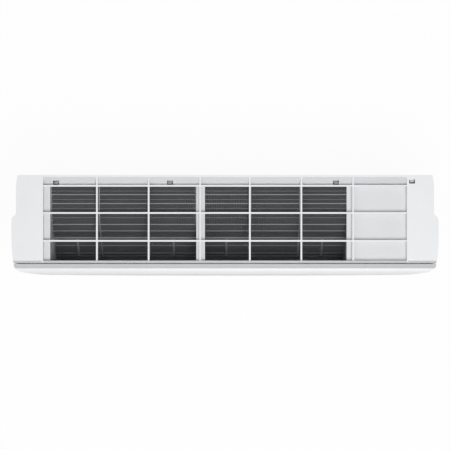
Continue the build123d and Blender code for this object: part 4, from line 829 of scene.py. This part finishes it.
for node, thickness, lean in (("evaporator_upper", 22.0, 1), ("evaporator_lower", 22.0, 0),
                              ("evaporator_rear", 13.5, -1)):
    low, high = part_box(node)
    middle = (low + high) / 2
    depth, height = (high.y - low.y) / mm, (high.z - low.z) / mm
    tilt = tilt_of(depth, height, thickness) if lean else 0.0
    length = (height - thickness * math.sin(tilt)) / math.cos(tilt)
    fins = grow(node + "_fins", fin_tree, {
        "First fin": (fin_left * mm, middle.y, middle.z), "Pitch": fin_pitch * mm, "Count": fin_count,
        "Fin size": (fin_metal * mm, thickness * mm, length * mm), "Tilt": -lean * tilt},
        bpy.data.meshes.new(node + "_fins"))
    keep(fins, node)
    print(node, "tilt:", round(math.degrees(-lean * tilt), 1), "length:", round(length, 1))

# %% [markdown]
# ## Turned and boxed shapes
#
# Shafts, screws, unions and the motor are shapes of revolution. One helper turns a
# list of stations, each a place along the axis and a radius, into a mesh. A radius
# may be a function of angle and place, and then the same helper makes a hexagon or
# a real screw thread. A second helper makes a box whose edges are rounded.

# %% Turned shapes
def on_axis(centre, axis, along, reach, angle):
    """Point at a place along an axis, a distance from it and an angle round it, from mm."""
    across, up = reach * math.cos(angle), reach * math.sin(angle)
    offset = {"X": (along, across, up), "Y": (across, along, up)}[axis]
    return (Vector(centre) + Vector(offset)) * mm


def turned(build, stations, centre, axis="X", steps=48, closed=False, paint=0):
    """Shape turned round an axis through centre, from stations in mm."""
    rings = []
    for along, radius in stations:
        if radius == 0:
            rings.append([build.verts.new(on_axis(centre, axis, along, 0.0, 0.0))])
            continue
        rings.append([])
        for index in range(steps):
            angle = 2 * math.pi * index / steps
            reach = radius(angle, along) if callable(radius) else radius
            rings[-1].append(build.verts.new(on_axis(centre, axis, along, reach, angle)))
    for one, two in zip(rings, rings[1:] + (rings[:1] if closed else [])):
        for i in range(steps):
            j = (i + 1) % steps
            if len(one) == 1:
                corners = (one[0], two[j], two[i])
            elif len(two) == 1:
                corners = (one[i], one[j], two[0])
            else:
                corners = (one[i], one[j], two[j], two[i])
            build.faces.new(corners).material_index = paint


# %% Rounded boxes, threads and hexagons
def block(build, low, high, corner=0.3, paint=0):
    """Box between two corners in mm, with rounded edges."""
    known = set(build.faces)
    edges = {edge for vert in plain_box(build, low, high) for edge in vert.link_edges}
    bmesh.ops.bevel(build, geom=list(edges), offset=corner * mm, segments=2, profile=0.5,
                    affect="EDGES", clamp_overlap=True)
    for face in build.faces:
        if face not in known:
            face.material_index = paint


def thread(core, depth, pitch):
    """Radius of a screw thread at an angle and a place along it."""
    def radius(angle, along):
        phase = (along / pitch - angle / (2 * math.pi)) % 1.0
        return core + depth * (1 - abs(2 * phase - 1))
    return radius


def threaded(start, end, count, *sizes):
    """Evenly spaced stations of a thread."""
    return [(start + (end - start) * index / count, thread(*sizes)) for index in range(count + 1)]


def hexagon(corner_radius, cone_radius=math.inf):
    """Radius of a hexagon, cut by a cone of its own radius for the chamfer."""
    def radius(angle, along):
        turn = angle % math.radians(60) - math.radians(30)
        return min(corner_radius * math.cos(math.radians(30)) / math.cos(turn), cone_radius)
    return radius


# %% [markdown]
# ## Crossflow fan
#
# The fan is a long squirrel cage: four sections of thin forward-curved blades
# between discs. Each section is turned a little against its neighbour, which in a
# real wheel spreads the blade noise. A node tree extrudes one blade's section,
# repeats it round the axis, and repeats that ring along the axis with its stagger.

# %% Fan blades by Geometry Nodes
blade_tree, size = new_tree("fan_blades", {
    "Section length": "Float", "Sections": "Int", "Blades": "Int", "Stagger": "Float"})
reach = along_x(blade_tree, size["Section length"])
far_side = step(blade_tree, "GeometryNodeExtrudeMesh", {
    "Mesh": size["Geometry"], "Offset": reach, "Offset Scale": 1.0, "Individual": False}, "Mesh", mode="FACES")
near_side = step(blade_tree, "GeometryNodeFlipFaces", {"Mesh": size["Geometry"]})
blade = step(blade_tree, "GeometryNodeJoinGeometry", {0: [far_side, near_side]})
blade = step(blade_tree, "GeometryNodeMergeByDistance", {"Geometry": blade, "Distance": 0.01 * mm})
index = step(blade_tree, "GeometryNodeInputIndex")
turn = calculate(blade_tree, "MULTIPLY", calculate(blade_tree, "DIVIDE", index, size["Blades"]), 2 * math.pi)
centre_dots = line_of_points(blade_tree, size["Blades"], (0, 0, 0), (0, 0, 0))
ring = repeat(blade_tree, centre_dots, blade, Rotation=along_x(blade_tree, turn))
section_dots = line_of_points(blade_tree, size["Sections"], (0, 0, 0), reach)
stagger = along_x(blade_tree, calculate(blade_tree, "MULTIPLY", index, size["Stagger"]))
end_tree(blade_tree, repeat(blade_tree, section_dots, ring, Rotation=stagger), "fan_black")

fan_axis = (-85.0, -10.0)
fan_centre = (0.0, *fan_axis)
fan_ends = (-343.0, 236.0)
fan_disc = 2.5
fan_sections = 4
fan_blades = 35
blade_radii = (36.5, 48.0)
blade_lean = math.radians(18.0)
blade_middle_thickness = 1.3
section_length = (fan_ends[1] - fan_ends[0] - fan_disc) / fan_sections


def blade_side(share, side):
    """Point of a blade's section: share runs outwards, side is which face."""
    radius = blade_radii[0] + (blade_radii[1] - blade_radii[0]) * share
    half = blade_middle_thickness / 2 * (0.45 + 0.55 * math.sin(math.pi * share))
    angle = blade_lean * math.sin(share * math.pi / 2) + side * half / radius
    return (0.0, radius * math.cos(angle) * mm, radius * math.sin(angle) * mm)


blade_shares = [index / 7 for index in range(8)]
blade_loop = [blade_side(share, 1) for share in blade_shares]
blade_loop += [blade_side(share, -1) for share in reversed(blade_shares)]
blade_face = bpy.data.meshes.new("blade_face")
blade_face.from_pydata(blade_loop, [], [tuple(range(len(blade_loop)))])
blades = grow("fan_blades", blade_tree, {
    "Section length": section_length * mm, "Sections": fan_sections, "Blades": fan_blades,
    "Stagger": 2 * math.pi / fan_blades / fan_sections}, blade_face)
build = bmesh.new()
build.from_mesh(blades.data)
bpy.data.objects.remove(blades)
bmesh.ops.translate(build, verts=build.verts, vec=Vector((fan_ends[0] + fan_disc / 2, *fan_axis)) * mm)

# %% Discs and shaft of the fan
disc_rim, disc_outer, disc_inner, disc_web = 48.4, 49.0, 33.5, 44.0
bore, boss, boss_length = 4.2, 12.0, 5.0
for index in range(fan_sections + 1):
    x = fan_ends[0] + index * section_length
    far = x + fan_disc
    rim = [(x, disc_rim), (x + 0.6, disc_outer), (far - 0.6, disc_outer), (far, disc_rim)]
    if 0 < index < fan_sections:
        profile = rim + [(far, disc_inner), (x, disc_inner)]
    else:
        boss_end = far + boss_length
        profile = [(x, bore), (x, disc_web), *rim, (far, boss + 0.5), (far + 0.5, boss),
                   (boss_end - 0.5, boss), (boss_end, boss - 0.5), (boss_end, bore)]
    turned(build, profile, fan_centre, steps=72, closed=True)
finished("fan_wheel_blades_and_discs", build, "fan_wheel")

build = bmesh.new()
for start, end, radius in ((-357.3, -335.5, 4.0), (233.5, 282.0, 5.0)):
    turned(build, [(start, 0), (start, radius - 0.6), (start + 0.6, radius), (end - 0.6, radius),
                   (end, radius - 0.6), (end, 0)], fan_centre, steps=40)
finished("fan_shaft_turned", build, "fan_shaft")

# %% [markdown]
# ## Fan motor
#
# The fan motor is cast in black resin with a raised band at its middle, where the
# two halves of the mould met, and a stepped nose. Its profile is turned round the
# fan's axis.

# %% Fan motor
motor_x = 262.0
motor_profile = [
    (22, 0), (22, 5.15), (-10, 5.15), (-10, 13.6), (-8.6, 15), (-3, 15), (0, 16), (0, 24), (0.8, 25),
    (0.8, 34), (0, 35), (0, 40), (1.2, 42.8), (4, 44), (28, 44), (28.6, 43.4), (31.4, 43.4), (32, 44),
    (36, 44), (36.6, 43.4), (39.4, 43.4), (40, 44), (64, 44), (66.8, 42.8), (68, 40), (68, 18), (67, 17),
    (67, 9), (68, 8), (68, 0)]
build = bmesh.new()
turned(build, motor_profile, (motor_x, *fan_axis), steps=96)
finished("fan_motor_cast", build, "fan_motor", smooth_angle=28.0)

# %% [markdown]
# ## Copper
#
# Refrigerant runs through copper tube. A node tree sweeps a round section along
# chains of edges, so one tree makes the two pipes and all the return bends. The
# return bends get a brazed collar where they enter the end plate: the second part
# of the tree puts a short ring on every point that carries the collar mark.

# %% Pipes and bends by Geometry Nodes
tube_tree, size = new_tree("copper_tube", {
    "Tube radius": "Float", "Collar radius": "Float", "Collar length": "Float"})
tube_line = step(tube_tree, "GeometryNodeMeshToCurve", {"Mesh": size["Geometry"]})
tube_wall = round_bar(tube_tree, tube_line, size["Tube radius"], 24, True)
collar = step(tube_tree, "GeometryNodeMeshCylinder", {
    "Radius": size["Collar radius"], "Depth": size["Collar length"], "Vertices": 24}, "Mesh")
collar_ring = repeat(tube_tree, size["Geometry"], collar, Selection=mark(tube_tree, "collar"),
                     Rotation=(0, math.radians(90), 0))
tube = step(tube_tree, "GeometryNodeJoinGeometry", {0: [tube_wall, collar_ring]})
end_tree(tube_tree, tube, "tube_copper")
collar_radius, collar_length = 4.3, 3.0


def filleted(points, radius, arc_steps=8):
    """Chain of points in mm that goes in at each corner to the centre of its fillet.

    slerp gives vectors of length 1, so the arc round that centre is of 1 mm, not of the radius.
    """
    points = [Vector(point) for point in points]
    path = [points[0]]
    for before, corner, after in zip(points, points[1:], points[2:]):
        back, ahead = (before - corner).normalized(), (after - corner).normalized()
        half = back.angle(ahead) / 2
        reach = radius / math.tan(half)
        centre = corner + (back + ahead).normalized() * (radius / math.sin(half))
        start, end = corner + back * reach - centre, corner + ahead * reach - centre
        path += [centre + start.slerp(end, index / arc_steps) for index in range(arc_steps + 1)]
    return path + [points[-1]]


def tubes(name, chains, node, radius, collars):
    """Runs the tube tree on chains of points in mm."""
    piece = grow(name, tube_tree, {
        "Tube radius": radius * mm, "Collar radius": collar_radius * mm, "Collar length": collar_length * mm},
        start_mesh(name, chains, collar=collars))
    smoothed(piece.data, 40)
    keep(piece, node)


def middle_of(corners):
    """Middle (y, z) of the corners of a ring that faces X."""
    return [(min(v[i] for v in corners) + max(v[i] for v in corners)) / 2 for i in (1, 2)]


def ring_middles(corners, reach):
    """Middles of all rings, where corners of one ring lie within reach of its first."""
    rings = []
    for corner in corners:
        ring = next((ring for ring in rings if (ring[0] - corner).yz.length < reach), None)
        if ring is None:
            rings.append([corner])
        else:
            ring.append(corner)
    return [middle_of(ring) for ring in rings]


# %% Return bends
bend_corners = [vertex.co / mm for vertex in nodes["return_bends"].data.vertices]
bend_x = max(corner.x for corner in bend_corners)
bend_stub, bend_radius, bend_arc, bend_tube = 6.0, 10.5, 16, 3.5
end_width = 7.2
bend_ends = ring_middles([corner for corner in bend_corners if corner.x > bend_x - 0.01], end_width)
chains, collars = [], []
while bend_ends:
    here = bend_ends.pop(0)
    there = min(bend_ends, key=lambda other: abs(math.dist(here, other) - 2 * bend_radius))
    bend_ends.remove(there)
    low, high = Vector((0, *here)), Vector((0, *there))
    middle, half = (low + high) / 2, (high - low) / 2
    chain = [low + Vector((x, 0, 0)) for x in (bend_x, bend_x - collar_length / 2)]
    for index in range(bend_arc + 1):
        turn = math.pi * index / bend_arc
        chain.append(Vector((bend_x - bend_stub - bend_radius * math.sin(turn), 0, 0))
                     + middle - half * math.cos(turn))
    chain += [high + Vector((x, 0, 0)) for x in (bend_x - collar_length / 2, bend_x)]
    chains.append(chain)
    marks = [0.0] * len(chain)
    marks[1] = marks[-2] = 1.0
    collars += marks
tubes("return_bends_round", chains, "return_bends", bend_tube, collars)
print("return bends:", len(chains))

# %% [markdown]
# Each pipe ends in a brass union: a hexagon with chamfered corners, and a nose with
# a real helical thread, whose radius depends on both angle and place.

# %% Pipes with their unions
# tube radius, where it turns down (x, y), its height in the channel, its end, and the union's bore and nose
pipe_runs = {
    "liquid": (3.175, (372.0, -24.0), -112.0, 200.0, 2.375, 5.56),
    "gas": (4.76, (387.0, -46.0), -126.0, 150.0, 3.96, 7.94),
}
pipe_x = 244.5
first_drop = 45.0
pipe_bend = 18.0
union_length = 14.0
for kind, (radius, drop, low_z, end_x, bore, nose) in pipe_runs.items():
    node = kind + "_pipe"
    corners = [v.co / mm for v in nodes[node].data.vertices]
    place = middle_of([v for v in corners if v.x < pipe_x + 0.05 and v.z > 0])
    route = [(pipe_x, *place), (drop[0], *place), (*drop, place[1] - first_drop), (*drop, low_z),
             (end_x, drop[1], low_z)]
    route = filleted(route, pipe_bend)
    tubes(node + "_round", [route], node, radius, [0.0] * len(route))
    print(node, "starts at", [round(v, 1) for v in place])
    corner, flat_x = nose + 2.5, end_x - union_length
    cone = corner * math.cos(math.radians(30)) + 0.1
    profile = [(end_x, bore), (end_x, cone - 1.2), (end_x - 0.4, hexagon(corner, cone)),
               (end_x - 1.4, hexagon(corner)), (flat_x + 1.4, hexagon(corner)),
               (flat_x + 0.4, hexagon(corner, cone)), (flat_x, nose - 0.6)]
    profile += threaded(flat_x - 0.8, flat_x - 10.8, 60, nose - 0.7, 0.7, 1.25)
    profile += [(flat_x - 11.6, nose - 0.9), (flat_x - 12.0, nose - 1.4), (flat_x - 12.0, bore)]
    build = bmesh.new()
    turned(build, profile, (0.0, drop[1], low_z), steps=72, closed=True)
    finished(kind + "_union_threaded", build, kind + "_union", smooth_angle=25.0)


# %% [markdown]
# ## Screws and mounting plate
#
# The case screws have a pan head with a cross recess, cut by a Boolean.

# %% Screws with a cross recess
def carve(piece, cutter, finish):
    """Cuts bmesh work out of a piece."""
    tool = mesh_piece("cutting_tool", cutter, [finish])
    modify(piece, "BOOLEAN", operation="DIFFERENCE", solver="EXACT", use_self=True, object=tool)
    bpy.data.objects.remove(tool)
    piece.data.set_sharp_from_angle(angle=math.radians(35))
    print(piece.name, "faces:", len(piece.data.polygons))
    return piece


screw_x, screw_z = (-300.0, -50.0, 200.0), -61.0
head_y = -177.3
screw_profile = [(-2.0, 0), (-2.0, 1.6), (-1.85, 2.6), (-1.3, 3.4), (-0.8, 3.6), (0.0, 3.6), (0.0, 1.6)]
screw_profile += threaded(0.4, 12.4, 56, 1.35, 0.62, 1.3) + [(13.2, 0.9), (14.0, 0)]
recess_long, recess_wide, recess_taper = 1.9, 0.42, 0.55
recess_depths = (head_y - 2.6, head_y - 0.75)
build, cutter = bmesh.new(), bmesh.new()
for x in screw_x:
    turned(build, screw_profile, (x, head_y, screw_z), axis="Y", steps=36)
    for half in ((recess_long, recess_wide), (recess_wide, recess_long)):
        for vert in bmesh.ops.create_cube(cutter, size=1.0)["verts"]:
            deep = vert.co.y > 0
            wide, tall = (2 * h * (recess_taper if deep and h == recess_long else 1.0) for h in half)
            vert.co = Vector((x + vert.co.x * wide, recess_depths[deep], screw_z + vert.co.z * tall)) * mm
keep(carve(mesh_piece("case_screws_threaded", build, ["screw_zinc"]), cutter, "screw_zinc"), "case_screws")

# %% [markdown]
# The mounting plate is punched sheet steel. Besides its four bolt holes, such a
# plate has rows of spare holes and short slots, so that it can be fixed to any wall.

# %% Punch the mounting plate
hole_x, hole_z = (-270, -180, -140, 140, 180, 270), (-84, -40, 40, 84)
hole_profile = [(-3, 0), (-3, 2.6), (3, 2.6), (3, 0)]
slot_x, slot_z, slot_half = (-60, 0, 60), (-62, 62), (14, 3, 2.6)
plate_y = -0.75
cutter = bmesh.new()
for x in hole_x:
    for z in hole_z:
        turned(cutter, hole_profile, (x, plate_y, z), axis="Y", steps=20)
for x in slot_x:
    for z in slot_z:
        low, high = ([c + way * h for c, h in zip((x, plate_y, z), slot_half)] for way in (-1, 1))
        block(cutter, low, high, 1.2)
carve(softened("mounting_plate", 0.2 * mm), cutter, "sheet_zinc")

# %% [markdown]
# ## Control board, terminals and display
#
# The boards carry what such boards carry: capacitors with a vented top, a relay, a
# row of plug sockets, chips, and small parts in rows. The terminal block has four
# bays, each with a clamping screw. Every component is a row of one table: its low
# corner in x and z, its width and height there, how far it rises, the radius of its
# edges, and its finish.

# %% Rows of components
def populate(build, face_y, parts):
    """Puts box-shaped components on a board that faces the front at face_y."""
    for x, z, width, height, rise, corner, paint in parts:
        block(build, (x, face_y - rise, z), (x + width, face_y, z + height), corner, paint)


def spread(count, x, pitch, *rest):
    """Row of equal components, a pitch apart."""
    return [(x + pitch * index, *rest) for index in range(count)]


# %% Control board
board_y = -147.9
socket_pin_y = board_y - 5.0
build = bmesh.new()
block(build, (278.0, board_y, 24.0), (388.0, -146.3, 113.0), 0.15)
capacitor = [(0, 0), (0, 9.0), (-1.2, 9.0), (-1.8, 8.5), (-2.4, 9.0), (-14.2, 9.0), (-14.8, 8.6), (-15.0, 7.6),
             (-14.7, 7.2), (-14.7, 0)]
for x in (303.0, 330.0):
    turned(build, capacitor, (x, board_y, 86.0), axis="Y", steps=40, paint=1)
populate(build, board_y, [(350.0, 72.0, 28.0, 28.0, 12.0, 0.6, 2)])                    # relay
populate(build, board_y, spread(8, 292.0, 5.75, 32.0, 5.3, 16.0, 6.0, 0.3, 3))         # plug sockets
populate(build, socket_pin_y, spread(8, 293.9, 5.75, 36.0, 1.5, 8.0, 1.4, 0.2, 1))     # their slots
populate(build, board_y, [(x, z, width, height, 2.0, 0.25, 1) for x, z, width, height in (
    (284.0, 56.0, 14.0, 8.0), (306.0, 56.0, 10.0, 10.0), (352.0, 52.0, 18.0, 12.0),
    (346.0, 30.0, 9.0, 7.0))])                                                         # chips
populate(build, board_y, spread(9, 283.0, 3.4, 105.0, 1.8, 3.5, 1.0, 0.15, 4))         # small parts
populate(build, board_y, spread(9, 360.0, 2.8, 32.0, 1.5, 3.0, 1.0, 0.15, 4))
finished("control_board_populated", build, "control_board",
         ("terminal_black", "motor_black", "button_white", "screw_zinc"))

# %% Terminal block
terminal_y, terminal_z = -149.4, -12.0
screw_head_y = terminal_y - 2.0
terminal_screw = [(0, 0), (0, 3.4), (-1.6, 3.4), (-2.2, 2.8), (-2.2, 0)]
build = bmesh.new()
build.from_mesh(nodes["terminal_block"].data)
for index in range(4):
    x = 291.0 + 14.0 * index
    turned(build, terminal_screw, (x, terminal_y, terminal_z), axis="Y", steps=24, paint=1)
    populate(build, screw_head_y, [(x - 0.5, terminal_z - 2.4, 1.0, 4.8, 0.5, 0.1, 0)])
finished("terminal_block_with_screws", build, "terminal_block", ("union_brass",))

# %% Display board
display_y = -178.9
lamp_profile = [(0, 0), (0, 1.5), (-2.2, 1.5), (-3.0, 1.1), (-3.3, 0)]
build = bmesh.new()
block(build, (286.0, display_y, -62.0), (358.0, -177.3, -38.0), 0.15)
populate(build, display_y, [(296.5, -55.0, 7.0, 8.0, 5.0, 0.6, 1)])                    # infrared receiver
for index in range(3):
    turned(build, lamp_profile, (314.0 + 9.0 * index, display_y, -51.0), axis="Y", steps=20, paint=2)
populate(build, display_y, spread(6, 312.0, 4.0, -43.0, 2.2, 1.4, 0.9, 0.12, 3))
finished("display_board_populated", build, "display_board", ("lens_smoke", "button_white", "screw_zinc"))
